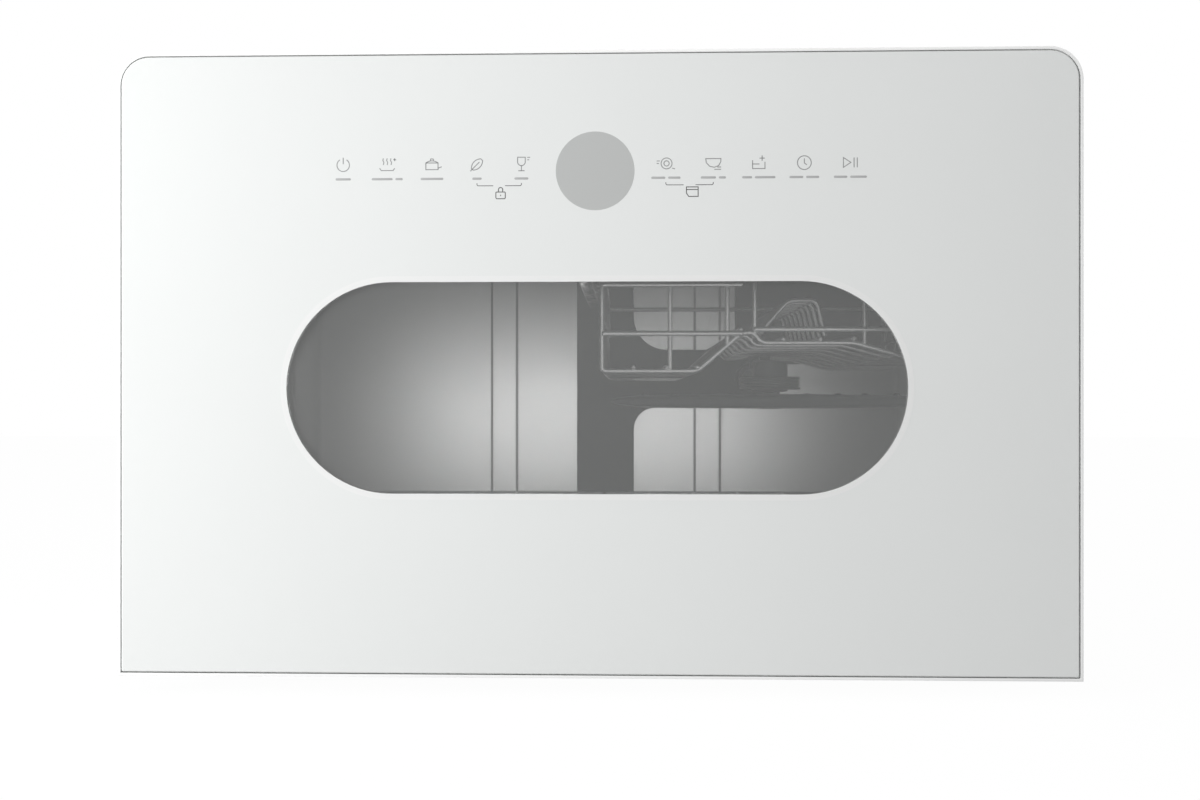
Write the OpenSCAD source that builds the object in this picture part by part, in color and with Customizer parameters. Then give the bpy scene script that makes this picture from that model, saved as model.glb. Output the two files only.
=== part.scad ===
// Countertop dishwasher with a white glass drop-down door, a stadium-shaped window,
// a half-width upper rack on the right and a low rack for plates.
// Millimetres. X runs to the right, Y to the back and Z up; the origin is on the surface
// that the feet stand on, under the middle of the machine.

/* [Cabinet] */
// Width over the door panel
body_w = 550; // [520:5:600]
// Depth from the door glass to the water connection
body_d = 500; // [500:5:540]
// Radius of the two upper corners
corner_r = 18.5; // [12:0.5:24]
// Thickness of the painted sheet
sheet = 1.2; // [0.8:0.1:1.5]

/* [Door] */
// Height of the door panel
door_h = 358; // [350:1:380]
// Gap between the door panel and the surface below
door_gap = 10; // [10:0.5:12]
// Thickness of the door from glass to liner
door_t = 40; // [38:1:42]
// Distance of the hinge pin behind the glass
pivot_in = 24; // [22:0.5:24]
// Height of the hinge pin above the lower edge of the door
pivot_up = 40; // [38:0.5:40]
// Thickness of the front glass
glass_t = 4; // [3:0.5:5]
// Width of the bright rim round the glass
rim_t = 1.6; // [1:0.2:2.4]

/* [Window] */
// Length of the stadium window
window_w = 354; // [300:2:380]
// Height of the stadium window
window_h = 121; // [100:1:130]
// Height of the window above the lower edge of the door
window_up = 105; // [95:1:115]
// Diameter of the round display
display_d = 45; // [36:1:50]
// Distance of the display's middle below the upper edge of the door
display_down = 69; // [60:1:80]

/* [Tub] */
// Inner width of the tub
tub_w = 496; // [480:2:500]
// Height of the tub's floor
tub_floor = 70; // [70:0.5:72]
// Height of the tub's ceiling
tub_ceiling = 350; // [345:1:352]
// Gauge of the tub's walls
tub_t = 1.5; // [1:0.1:2]
// Radius of the tub's long edges
tub_r = 26; // [20:1:30]

/* [Racks] */
// Diameter of the rack wires
wire_d = 3; // [2.6:0.2:3.4]
// Height of the lower rack's floor
low_floor = 92; // [91.5:0.5:93]
// Height of the upper rack's deep floor
up_floor = 186; // [184:1:188]
// Height of the upper rack's rim
up_rim = 248; // [244:1:250]
// Reach of the lower spray arm
low_arm_r = 178; // [150:2:180]
// Reach of the upper spray arm
up_arm_r = 115; // [100:1:116]

/* [Hidden] */

round_fn = 64;
fine_fn = 96;

// Planes of the whole machine
front_y = -body_d / 2;
back_y = body_d / 2;
door_in_y = front_y + door_t;
cab_front_y = door_in_y + 2;
rear_out_y = back_y - 17;
rear_t = 1.5;
door_top = door_gap + door_h;
cab_top = door_top - 1.5;
cab_w = body_w - 2;
cab_bottom = 14;

// The hinge line
pivot_y = front_y + pivot_in;
pivot_z = door_gap + pivot_up;
pin_r = 4;
sweep_y = pivot_y + 49;
sill_z = pivot_z + door_t - pivot_in + 3;

// The window and the display
window_z = door_gap + window_up + window_h / 2;
display_z = door_top - display_down;
tunnel_w = window_w + 24;
tunnel_h = window_h + 24;
pane_t = 3.8;
liner_y = door_in_y - 0.6;
liner_t = 1.2;
glass_inset = rim_t + 0.6;
web_y = front_y + glass_t + 0.2;
web_t = 3.3;
notch_z = 92;
notch_x = 256;
ledge_w = 16;
flange_z = 76;

// The tub and what stands in it
tub_front_y = door_in_y + 3.5;
tub_back_y = back_y - 55;
tub_mid_z = (tub_floor + tub_ceiling) / 2;
tub_h = tub_ceiling - tub_floor;
rib_in = 76;
rib_out = 97.5;
rib_up = 1.5;
arm_y = -8;
sump_r = 60;
cup_x = 34;
cup_r = 19;
salt_x = -160;
salt_y = 100;
salt_r = 24;
duct_w = 48;
duct_y = tub_back_y - 15;
duct_back_y = tub_back_y - 1.8;
riser_z = 84;
branch_z = 162;
branch_h = 49;
vent_x = [110, 232];
vent_z = [199, 290];

// The racks
rack_front_y = tub_front_y + 8.5;
rack_back_y = tub_back_y - 19;
low_half_w = 234;
low_rim = low_floor + 12;
wheel_r = 8.4;
wheel_x = 212;
wheel_w = 7;
wheel_y = [-120, 120];
tine_z = low_floor + 4.5;
rail_z = 253;
right_rail_x = 239.5;
left_rail_x = -4.5;
up_left_x = 3;
up_right_x = 234;
step_z = 203;
pipe_x = 121;
pipe_z = 187;
pipe_y = -10;
up_arm_low = 162.4;
up_arm_high = 173.4;
cup_bar_x = 100;
cup_bar_z = 210;

// The base
tray_z = 12;
tray_t = 3;
tray_w = 516;
tray_front_y = -176;
foot_x = 225;
foot_y = [-140, 195];
pillar_x = 214;
pillar_y = [-60, 185];
pump_x = 72.3;
pump_z = 38;
outlet_x = -120;
outlet_z = 60;
valve_x = -190;
valve_z = 60;
thread_r = 13.22;
nozzle_r = 9.5;
gland_x = 160;
gland_z = 45;
float_x = 200;
float_y = 30;
spring_x = 264.2;
spring_z = 69;
spring_front_y = -149.8;
spring_back_y = -28.2;
latch_y = -168;
latch_z = 355;

// A plane outline drawn in X and Z, made solid from y0 to y1
module slab(y0, y1) translate([0, y1, 0]) rotate([90, 0, 0]) linear_extrude(y1 - y0) children();

// A plane outline drawn in Y and Z, made solid from x0 to x1
module side_slab(x0, x1) translate([x0, 0, 0]) rotate([90, 0, 90]) linear_extrude(x1 - x0) children();

// A block between two corners
module block(low, high) translate(low) cube(high - low);

// A round bar along X
module bar_x(x0, x1, y, z, r) translate([x0, y, z]) rotate([0, 90, 0])
    cylinder(h = x1 - x0, r = r, $fn = round_fn);

// A round bar along Y
module bar_y(y0, y1, x, z, r) translate([x, y0, z]) rotate([-90, 0, 0])
    cylinder(h = y1 - y0, r = r, $fn = round_fn);

// A round bar along Z
module bar_z(z0, z1, x, y, r) translate([x, y, z0])
    cylinder(h = z1 - z0, r = r, $fn = round_fn);

// A straight six-sided wire between two points
module rod(a, b, r) {
    d = b - a;
    h = norm(d);
    translate(a) rotate([0, acos(d.z / h), atan2(d.y, d.x)]) cylinder(h = h, r = r, $fn = 6);
}

// The same thing on both sides of the machine
module both_sides() {
    children();
    mirror([1, 0, 0]) children();
}

module stadium(w, h) {
    square([w - h, h], center = true);
    for (x = [-1, 1]) translate([x * (w - h) / 2, 0]) circle(h / 2, $fn = fine_fn);
}

module round_rect(w, h, r) {
    square([w - 2 * r, h], center = true);
    square([w, h - 2 * r], center = true);
    for (x = [-1, 1], y = [-1, 1])
        translate([x * (w / 2 - r), y * (h / 2 - r)]) circle(r, $fn = round_fn);
}

// A panel from z0 to z1 with only its upper corners rounded
module panel(w, z0, z1, r) {
    translate([-w / 2, z0]) square([w, z1 - z0 - r]);
    translate([-w / 2 + r, z0]) square([w - 2 * r, z1 - z0]);
    for (x = [-1, 1]) translate([x * (w / 2 - r), z1 - r]) circle(r, $fn = round_fn);
}

// The door's outline, drawn in by a margin
module door_outline(margin)
    panel(body_w - 2 * margin, door_gap + margin, door_top - margin, max(1, corner_r - margin));

// A point moved along the mitre of the corner between two neighbours, for a band of half width w
function unit(v) = v / norm(v);
function side_of(v) = [-v.y, v.x];
function mitre(a, b, c, w) = let (m = unit(side_of(unit(b - a)) + side_of(unit(c - b))))
    b + m * w / (m * side_of(unit(c - b)));
function edge(path, w) = [for (i = [0 : len(path) - 1])
    i == 0 ? path[0] + w * side_of(unit(path[1] - path[0]))
    : i == len(path) - 1 ? path[i] + w * side_of(unit(path[i] - path[i - 1]))
    : mitre(path[i - 1], path[i], path[i + 1], w)];
function turned(list) = [for (i = [len(list) - 1 : -1 : 0]) list[i]];

// A wire bent in one plane, of square section
module bent_wire(path, d) linear_extrude(d, center = true)
    polygon(concat(edge(path, d / 2), turned(edge(path, -d / 2))));

// The wire stood up in the plane of X and Z, or of Y and Z
module wire_xz(path, d, y) translate([0, y, 0]) rotate([90, 0, 0]) bent_wire(path, d);
module wire_yz(path, d, x) translate([x, 0, 0]) rotate([90, 0, 90]) bent_wire(path, d);

// A path with each corner eased into a short curve of radius about r
function eased(p, r, n = 5) = [for (i = [0 : len(p) - 1]) each (i == 0 || i == len(p) - 1 ? [p[i]]
    : let (a = p[i] + r * unit(p[i - 1] - p[i]), c = p[i] + r * unit(p[i + 1] - p[i]))
    [for (k = [0 : n]) let (t = k / n) (1 - t) * (1 - t) * a + 2 * t * (1 - t) * p[i] + t * t * c])];

// A round tube swept along a path, its rings carried from point to point without twist
function heading(p, i) = unit(p[min(i + 1, len(p) - 1)] - p[max(i - 1, 0)]);
function squared(n, t) = unit(n - (n * t) * t);
function normals(p, i, n) = i == len(p) ? []
    : let (m = squared(n, heading(p, i))) concat([m], normals(p, i + 1, m));
module tube(path, r, sides, start = [1, 0.01, 0.02]) {
    n = normals(path, 0, start);
    rings = len(path);
    points = [for (i = [0 : rings - 1], j = [0 : sides - 1])
        let (t = heading(path, i), a = 360 * j / sides)
        path[i] + r * (cos(a) * n[i] + sin(a) * cross(t, n[i]))];
    walls = [for (i = [0 : rings - 2], j = [0 : sides - 1], half = [0, 1])
        let (a = i * sides + j, b = i * sides + (j + 1) % sides, c = b + sides, d = a + sides)
        half == 0 ? [a, d, c] : [a, c, b]];
    first = [for (j = [1 : sides - 2]) [0, j, j + 1]];
    last_ring = (rings - 1) * sides;
    last = [for (j = [1 : sides - 2]) [last_ring, last_ring + j + 1, last_ring + j]];
    polyhedron(concat(points), concat(walls, first, last));
}

// The painted casing: top and both sides in one bent sheet, notched where the door swings in
module cabinet_wrap() color("white") {
    difference() {
        slab(cab_front_y, rear_out_y) panel(cab_w, cab_bottom, cab_top, corner_r - 1);
        slab(cab_front_y - 1, rear_out_y + 1)
            panel(cab_w - 2 * sheet, cab_bottom - 20, cab_top - sheet, corner_r - 1 - sheet);
        block([-body_w, cab_front_y - 1, 0], [body_w, sweep_y, sill_z]);
    }
    both_sides() difference() {
        block([246, rear_out_y - 3.2, 40], [cab_w / 2 - sheet + 0.1, rear_out_y - 2, 350]);
        for (s = screw_spots) bar_y(rear_out_y - 5, rear_out_y, abs(s.x), s.y, 2);
    }
}

vent_pitch = 9;
vent_w = 70;
screw_spots = [for (x = [-255, 255], z = [60, 160, 260, 345]) [x, z]];

module rear_panel() color("gainsboro") difference() {
    slab(rear_out_y - rear_t, rear_out_y)
        panel(cab_w - 2 * sheet - 1, cab_bottom + 2, cab_top - sheet - 0.5, corner_r - 3);
    for (x = [-95, 95], k = [0 : 7])
        block([x - vent_w / 2, rear_out_y - 5, 240 + k * vent_pitch],
            [x + vent_w / 2, rear_out_y + 5, 244 + k * vent_pitch]);
    bar_y(rear_out_y - 5, rear_out_y + 5, valve_x, valve_z, 14.5);
    bar_y(rear_out_y - 5, rear_out_y + 5, outlet_x, outlet_z, 11.5);
    bar_y(rear_out_y - 5, rear_out_y + 5, gland_x, gland_z, 8.8);
    for (s = screw_spots) bar_y(rear_out_y - 5, rear_out_y + 5, s.x, s.y, 2.3);
}

module rear_screws() color("silver") for (s = screw_spots) {
    bar_y(rear_out_y + 0.05, rear_out_y + 2, s.x, s.y, 4);
    bar_y(rear_out_y - 7, rear_out_y + 0.06, s.x, s.y, 1.9);
}

// The plastic base: floor, plinth front, side walls, foot bosses, tub pillars and the float's guide
module base_tray() color("dimgray") difference() {
    union() {
        block([-271.5, tray_front_y, tray_z], [271.5, rear_out_y - 2, tray_z + tray_t]);
        for (x = [-tray_w / 2, tray_w / 2 - tray_t])
            block([x, tray_front_y, tray_z], [x + tray_t, rear_out_y - 10, 64]);
        block([-tray_w / 2, tray_front_y, tray_z], [tray_w / 2, tray_front_y + tray_t, 64]);
        block([-tray_w / 2, rear_out_y - 13, tray_z], [tray_w / 2, rear_out_y - 10, 28]);
        for (x = [-foot_x, foot_x], y = foot_y) bar_z(tray_z, 30, x, y, 9);
        for (x = [-pillar_x, pillar_x], y = pillar_y) bar_z(tray_z, tub_floor - tub_t - 0.2, x, y, 7);
        block([float_x + 22, float_y - 5, tray_z], [float_x + 27, float_y + 5, 40]);
        block([float_x - 7, float_y - 5, 36], [float_x + 27, float_y + 5, 40]);
    }
    for (x = [-foot_x, foot_x], y = foot_y) bar_z(tray_z - 1, 31, x, y, 4.3);
    bar_z(30, 45, float_x, float_y, 3.3);
}

// A levelling foot: rubber sole, hexagonal collar and stud
module foot(x, y, top) {
    bar_z(0, 4, x, y, 16);
    bar_z(3.9, 7, x, y, 13);
    translate([x, y, 6.9]) cylinder(h = top - 6.9, r = 11, $fn = 6);
    bar_z(top - 0.1, 34, x, y, 4);
}

module front_foot_left() color("black") foot(-foot_x, foot_y[0], tray_z - 0.3);
module front_foot_right() color("black") foot(foot_x, foot_y[0], tray_z - 0.3);
module rear_feet() color("black") for (x = [-foot_x, foot_x]) foot(x, foot_y[1], tray_z);

// The steel plates on the base, each with its riveted hinge pin and the ear that its spring hooks on
bracket_in = 262;
bracket_out = 266;
module hinge_brackets() color("silver") both_sides() {
    side_slab(bracket_in, bracket_out) {
        translate([pivot_y, pivot_z]) circle(13, $fn = round_fn);
        translate([pivot_y, pivot_z - 12]) square([spring_back_y + 6 - pivot_y, 23]);
        translate([spring_back_y + 0.2, pivot_z]) square([5.8, 26]);
    }
    block([tray_w / 2, -150, pivot_z - 11], [bracket_in + 1, -70, pivot_z + 9]);
    bar_x(256.2, bracket_out + 0.6, pivot_y, pivot_z, pin_r);
}

// The pull rods between the door's levers and the springs
rod_front_y = pivot_y + 14;
module spring_rods() color("silver") both_sides() difference() {
    union() {
        bar_y(rod_front_y + 2, spring_front_y - 0.5, spring_x, spring_z, 1.8);
        bar_y(spring_front_y - 3, spring_front_y - 0.2, spring_x, spring_z, 5.2);
        bar_x(spring_x - 1.4, spring_x + 1.4, rod_front_y, spring_z, 5);
    }
    bar_x(spring_x - 3, spring_x + 3, rod_front_y, spring_z, 2.3);
}

// The door's counterbalance springs, wound as one wire each; fourteen turns
spring_turns = 14;
spring_coil_r = 4.2;
spring_wire_r = 0.9;
spring_steps = spring_turns * 8;
spring_path = [for (i = [0 : spring_steps]) [spring_x + spring_coil_r * cos(45 * i),
    spring_front_y + 1.2 + (spring_back_y - spring_front_y - 2.4) * i / spring_steps,
    spring_z + spring_coil_r * sin(45 * i)]];
echo(least_gap_of_spring = min([for (i = [0 : spring_steps - 8], k = [6 : 8])
    norm(spring_path[i + min(k, spring_steps - i)] - spring_path[i]) - 2 * spring_wire_r]));
module door_springs() color("silver") both_sides() tube(spring_path, spring_wire_r, 6, [0, 1, 0.1]);

// The stainless tub: open at the front, with a sealing flange, embossed ribs and its floor openings
module tub() color("lightgray") difference() {
    union() {
        difference() {
            union() {
                translate([0, 0, tub_mid_z]) slab(tub_front_y, tub_back_y + tub_t)
                    round_rect(tub_w + 2 * tub_t, tub_h + 2 * tub_t, tub_r + tub_t);
                slab(tub_front_y, tub_front_y + tub_t)
                    panel(body_w - 6, flange_z, cab_top - sheet - 0.4, corner_r - 4);
            }
            translate([0, 0, tub_mid_z]) slab(tub_front_y - 1, tub_back_y) round_rect(tub_w, tub_h, tub_r);
        }
        both_sides() {
            block([rib_in, tub_back_y - rib_up, tub_floor + 24],
                [rib_out, tub_back_y + 0.5, tub_ceiling - 20]);
            block([tub_w / 2 - rib_up, 66, tub_floor + 30], [tub_w / 2 + 0.5, 101, tub_ceiling - 30]);
        }
    }
    bar_z(tub_floor - 5, tub_floor + 5, 0, arm_y, sump_r);
    bar_z(tub_floor - 5, tub_floor + 5, salt_x, salt_y, salt_r + 0.6);
    bar_y(tub_back_y - 5, tub_back_y + 5, 0, riser_z, 9);
    block([-14, tub_front_y - 1, 352.6], [14, tub_front_y + 5, 364]);
}

// The rubber seal round the tub's mouth, just clear of the closed door; low at the sill
seal_low_z = pivot_z + door_t - pivot_in + 1;
module tub_seal() color("darkgray") difference() {
    translate([0, 0, tub_mid_z]) slab(door_in_y + 0.3, tub_front_y)
        round_rect(tub_w + 15, tub_h + 15, tub_r + 7.5);
    translate([0, 0, tub_mid_z]) slab(door_in_y, tub_front_y + 1)
        round_rect(tub_w + 1, tub_h + 1, tub_r + 0.5);
    block([-body_w, door_in_y, 0], [body_w, tub_front_y + 1, seal_low_z]);
}

module insulation() color("gray") translate([0, 0, tub_mid_z]) difference() {
    slab(-150, 180) round_rect(tub_w + 16, tub_h + 16, tub_r + 8);
    slab(-151, 181) round_rect(tub_w + 2 * tub_t + 1, tub_h + 2 * tub_t + 1, tub_r + tub_t + 0.5);
    slab(-151, 181) translate([0, -tub_h / 2]) square([body_w, 80], center = true);
}

// The latch over the tub's mouth; its hook swings up into the door's strike
module latch_body() color("dimgray") difference() {
    block([-18, tub_front_y + tub_t + 0.3, tub_ceiling + tub_t + 0.3], [18, -158, 365]);
    block([-13, tub_front_y, 352.6], [13, -162, 364]);
    bar_x(-20, 20, latch_y, latch_z, 1.6);
}

module latch_hook() color("orange") difference() {
    union() {
        block([-5, -204, latch_z - 1.5], [5, latch_y, latch_z + 0.2]);
        block([-5, -204, latch_z - 1.5], [5, -200.6, latch_z + 2.7]);
        bar_x(-6, 6, latch_y, latch_z, 2.3);
        bar_x(-17.5, 17.5, latch_y, latch_z, 1.5);
    }
    block([-1.5, -196, latch_z - 3], [1.5, -178, latch_z + 3]);
}

// The sump bowl under the floor, with its two ports and the post that the lower arm turns on
module sump() color("dimgray") {
    difference() {
        union() {
            bar_z(22, 66, 0, arm_y, 62);
            bar_z(65, tub_floor - tub_t - 0.3, 0, arm_y, 71);
            bar_x(-71.5, 71.5, arm_y, pump_z, 11);
        }
        bar_z(25, 80, 0, arm_y, 58);
        bar_x(-73, 73, arm_y, pump_z, 8.5);
    }
    bar_z(24, 75.8, 0, arm_y, 10);
    bar_z(75.7, 84.3, 0, arm_y, 6);
    bar_z(84.2, 87, 0, arm_y, 9);
}

// The perforated steel plate over the sump
module filter_plate() color("silver") difference() {
    bar_z(tub_floor + 0.2, tub_floor + 1.4, 0, arm_y, 74);
    bar_z(tub_floor - 1, tub_floor + 3, 0, arm_y, 10.6);
    bar_z(tub_floor - 1, tub_floor + 3, cup_x, arm_y, cup_r + 0.5);
    for (ring = [0 : 2], a = [0 : 15 : 345])
        let (r = 60 + 5 * ring, turn = a + 7.5 * ring)
            bar_z(tub_floor - 1, tub_floor + 3, r * cos(turn), arm_y + r * sin(turn), 1.6);
}

// The filter cup, which turns in the sump to lock
module filter_cup() color("gray") {
    difference() {
        bar_z(30, tub_floor + 2, cup_x, arm_y, cup_r - 0.4);
        bar_z(32, tub_floor + 3, cup_x, arm_y, cup_r - 2.4);
        for (a = [0 : 30 : 150]) translate([cup_x, arm_y, 36]) rotate([0, 0, a])
            translate([-cup_r - 1, -1.5, 0]) cube([2 * cup_r + 2, 3, 24]);
    }
    block([cup_x - 2, arm_y - cup_r + 1, tub_floor - 6], [cup_x + 2, arm_y + cup_r - 1, tub_floor + 4.5]);
}

// The wash pump: volute, finned motor and rubber mounts
module wash_pump() color("darkslategray") {
    difference() {
        union() {
            bar_x(pump_x, pump_x + 24, arm_y, pump_z, 22);
            bar_y(arm_y + 18, arm_y + 33, pump_x + 12, pump_z, 9);
        }
        bar_x(pump_x + 3, pump_x + 21, arm_y, pump_z, 19);
        bar_x(pump_x - 1, pump_x + 4, arm_y, pump_z, 8.5);
        bar_y(arm_y + 15, arm_y + 34, pump_x + 12, pump_z, 7);
    }
    bar_x(pump_x + 23.9, pump_x + 90, arm_y, pump_z, 18);
    for (x = [30 : 8 : 86]) bar_x(pump_x + x, pump_x + x + 3, arm_y, pump_z, 21);
    for (x = [30, 78])
        block([pump_x + x, arm_y - 10, tray_z + tray_t + 0.1], [pump_x + x + 8, arm_y + 10, 22]);
}

module pump_impeller() color("silver") {
    x0 = pump_x + 6;
    bar_x(x0, x0 + 2, arm_y, pump_z, 17);
    bar_x(x0, x0 + 12, arm_y, pump_z, 4.5);
    translate([x0, arm_y, pump_z]) for (a = [0 : 60 : 300])
        rotate([a, 0, 0]) translate([1, -1, 3]) cube([8, 2, 13]);
}

// The in-line heater after the pump
heater_y0 = arm_y + 33.2;
heater_y1 = 122;
module flow_heater() color("silver") difference() {
    union() {
        bar_y(heater_y0, heater_y1, pump_x + 12, pump_z, 9);
        bar_y(heater_y0 + 8, heater_y1 - 8, pump_x + 12, pump_z, 15);
    }
    bar_y(heater_y0 - 1, heater_y1 + 1, pump_x + 12, pump_z, 7);
}

riser_route = [[pump_x + 12, heater_y1 + 0.2, pump_z], [pump_x + 12, 165, pump_z],
    [0, 214, pump_z], [0, 214, riser_z], [0, tub_back_y + 5.2, riser_z]];
module riser_hose() color("dimgray") tube(eased(riser_route, 12), 8, 10, [0.02, 0, 1]);

// The flat duct up the back wall, with the branch that feeds the upper arm and the vent box over it
low_fillet = 18;
high_fillet = 28;
module duct_outline() {
    translate([-duct_w / 2, tub_floor + 4]) square([duct_w, tub_h - 8]);
    translate([0, branch_z]) square([pipe_x + 26, branch_h]);
    translate([vent_x[0], vent_z[0]]) square([vent_x[1] - vent_x[0], vent_z[1] - vent_z[0]]);
    duct_corner(branch_z, low_fillet, -1);
    duct_corner(branch_z + branch_h, high_fillet, 1);
}
// The fillet between the duct and its branch's edge at z; way is 1 above the branch and -1 below it
module duct_corner(z, radius, way) translate([duct_w / 2, z]) mirror([0, way < 0 ? 1 : 0]) difference() {
    translate([-0.5, 0]) square([radius + 0.5, radius]);
    translate([radius, radius]) circle(radius, $fn = round_fn);
}
module spray_duct() color("slategray") {
    slab(duct_y, duct_back_y) duct_outline();
    bar_y(duct_back_y - 0.5, tub_back_y + 5, 0, riser_z, 7.5);
    difference() {
        bar_y(duct_y - 5, duct_y + 0.5, pipe_x, pipe_z, 12);
        bar_y(duct_y - 6, duct_y + 4, pipe_x, pipe_z, 9);
    }
}

module drain_pump() color("darkslategray") {
    difference() {
        union() {
            bar_x(-96, -72, arm_y, pump_z, 16);
            bar_y(arm_y + 10, arm_y + 24, -80, pump_z, 8);
        }
        bar_x(-93, -75, arm_y, pump_z, 13);
        bar_x(-76, -71, arm_y, pump_z, 8.5);
        bar_y(arm_y + 10, arm_y + 25, -80, pump_z, 6);
    }
    block([-135, arm_y - 15, pump_z - 15], [-95.9, arm_y + 15, pump_z + 15]);
}

module drain_impeller() color("silver") {
    bar_x(-91, -78, arm_y, pump_z, 3);
    translate([-89, arm_y, pump_z]) for (a = [0 : 90 : 270])
        rotate([a, 0, 0]) translate([0, -0.8, 2]) cube([9, 1.6, 8.5]);
}

// The drain hose: over a high loop at the back, and out through the spigot
hose_y = 213.5;
drain_route = [[-80, arm_y + 24.2, pump_z], [-80, 180, pump_z], [-80, hose_y, 70], [-80, hose_y, 300],
    [outlet_x, hose_y, 300], [outlet_x, hose_y, outlet_z], [outlet_x, 227.8, outlet_z]];
module drain_hose() color("gray") tube(eased(drain_route, 13), 7, 10, [1, 0.02, 0]);

// The moulded block at the back: the inlet valve with its thread, and the drain nozzle beside it
block_t = 2;
module water_block() color("white") difference() {
    union() {
        block([valve_x - 15, 200, valve_z - 15], [valve_x + 15, rear_out_y - 2, valve_z + 15]);
        bar_z(valve_z + 14, valve_z + 34, valve_x, 212, 10);
        bar_y(rear_out_y - 3, rear_out_y + 0.5, valve_x, valve_z, 14);
        block([valve_x - 19, rear_out_y + 0.2, valve_z - 19],
            [outlet_x + 16, rear_out_y + 0.2 + block_t, valve_z + 19]);
        bar_y(rear_out_y + block_t, back_y, valve_x, valve_z, thread_r);
        bar_y(228, back_y - 2, outlet_x, outlet_z, nozzle_r);
    }
    bar_y(back_y - 14, back_y + 1, valve_x, valve_z, 9);
    bar_y(230, back_y, outlet_x, outlet_z, nozzle_r - 2.5);
}

fill_route = [[valve_x, 212, valve_z + 34.2], [valve_x, 212, 170], [valve_x - 30, 213, 200],
    [-262, 213, 200], [-264.7, 160, 200], [-264.7, 118.5, 200]];
module fill_hose() color("lightgray") tube(eased(fill_route, 12), 5, 8, [1, 0.02, 0]);

// The flat box of channels beside the tub, which meters the water and keeps it from running back
module air_breaker() color("lightgray") difference() {
    block([-271.3, -70, 120], [-258, 118, 300]);
    for (k = [0 : 3]) block([-272, -58 + 44 * k, 132], [-262, -24 + 44 * k, 288]);
}

module softener() color("lightgray") difference() {
    union() {
        block([-225, 35, 18], [-100, 165, 64]);
        bar_z(63, tub_floor + 0.1, salt_x, salt_y, salt_r);
    }
    bar_z(24, tub_floor + 1, salt_x, salt_y, salt_r - 3);
}

module salt_cap() color("darkgray") {
    bar_z(tub_floor + 0.4, tub_floor + 2.5, salt_x, salt_y, salt_r + 3);
    block([salt_x - 18, salt_y - 2.5, tub_floor + 2.4], [salt_x + 18, salt_y + 2.5, tub_floor + 5.5]);
}

// The float that shuts the water off if the base floods
module float() color("whitesmoke") {
    bar_z(16.5, 24, float_x, float_y, 17);
    bar_z(23.9, 46, float_x, float_y, 3);
}

module power_box() color("gray") difference() {
    block([110, 125, 16], [205, 215, 58]);
    for (k = [0 : 6]) block([122 + 11 * k, 135, 54], [126 + 11 * k, 205, 59]);
}

// The gland that a mains cord would leave through
module cord_gland() color("black") difference() {
    union() {
        bar_y(226, rear_out_y + 11, gland_x, gland_z, 8.5);
        bar_y(rear_out_y + 0.2, rear_out_y + 3, gland_x, gland_z, 11);
    }
    bar_y(225, rear_out_y + 12, gland_x, gland_z, 3.9);
}

// A two-armed spray arm about its own axis, with a row of nozzles, and a recess under its hub for
// the head that holds it up
module spray_arm(reach, width, low, high, bore, nozzles, recess = 0) difference() {
    translate([0, 0, low]) linear_extrude(high - low) {
        stadium(2 * reach, width);
        circle(width * 0.62, $fn = round_fn);
    }
    translate([0, 0, low - 1]) cylinder(h = high - low + 2, r = bore, $fn = round_fn);
    if (recess > 0) translate([0, 0, low - 1]) cylinder(h = 4.6, r = recess, $fn = round_fn);
    for (side = [-1, 1], k = [0 : nozzles - 1])
        let (along = side * (reach * 0.24 + k * reach * 0.72 / nozzles), aside = k % 2 == 0 ? side : -side)
            translate([along, aside * width * 0.22, high - 2]) cylinder(h = 4, r = 1.5, $fn = round_fn);
}

module lower_spray_arm() color("gray") translate([0, arm_y, 0])
    spray_arm(low_arm_r, 34, 76.5, 83.8, 6.1, 5);

// The two channels that the upper rack runs in; the inner one hangs from the ceiling
module upper_rails() color("silver") {
    difference() {
        block([right_rail_x, rack_front_y, rail_z - 9], [tub_w / 2 - 1.7, rack_back_y, rail_z + 9]);
        block([right_rail_x - 1, rack_front_y - 1, rail_z - 4],
            [right_rail_x + 5.2, rack_back_y + 1, rail_z + 4]);
    }
    for (y = [-110, 130]) bar_x(tub_w / 2 - 1.8, tub_w / 2 - 0.1, y, rail_z, 6);
    difference() {
        union() {
            block([left_rail_x - 8, rack_front_y, rail_z - 9], [left_rail_x, rack_back_y, rail_z + 9]);
            for (y = [-110, 110]) {
                block([left_rail_x - 8, y - 12, rail_z + 8], [left_rail_x - 5, y + 12, tub_ceiling - 0.2]);
                block([left_rail_x - 8, y - 12, tub_ceiling - 2.4],
                    [left_rail_x + 14, y + 12, tub_ceiling - 0.2]);
            }
        }
        block([left_rail_x - 5.2, rack_front_y - 1, rail_z - 4],
            [left_rail_x + 1, rack_back_y + 1, rail_z + 4]);
    }
}

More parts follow.
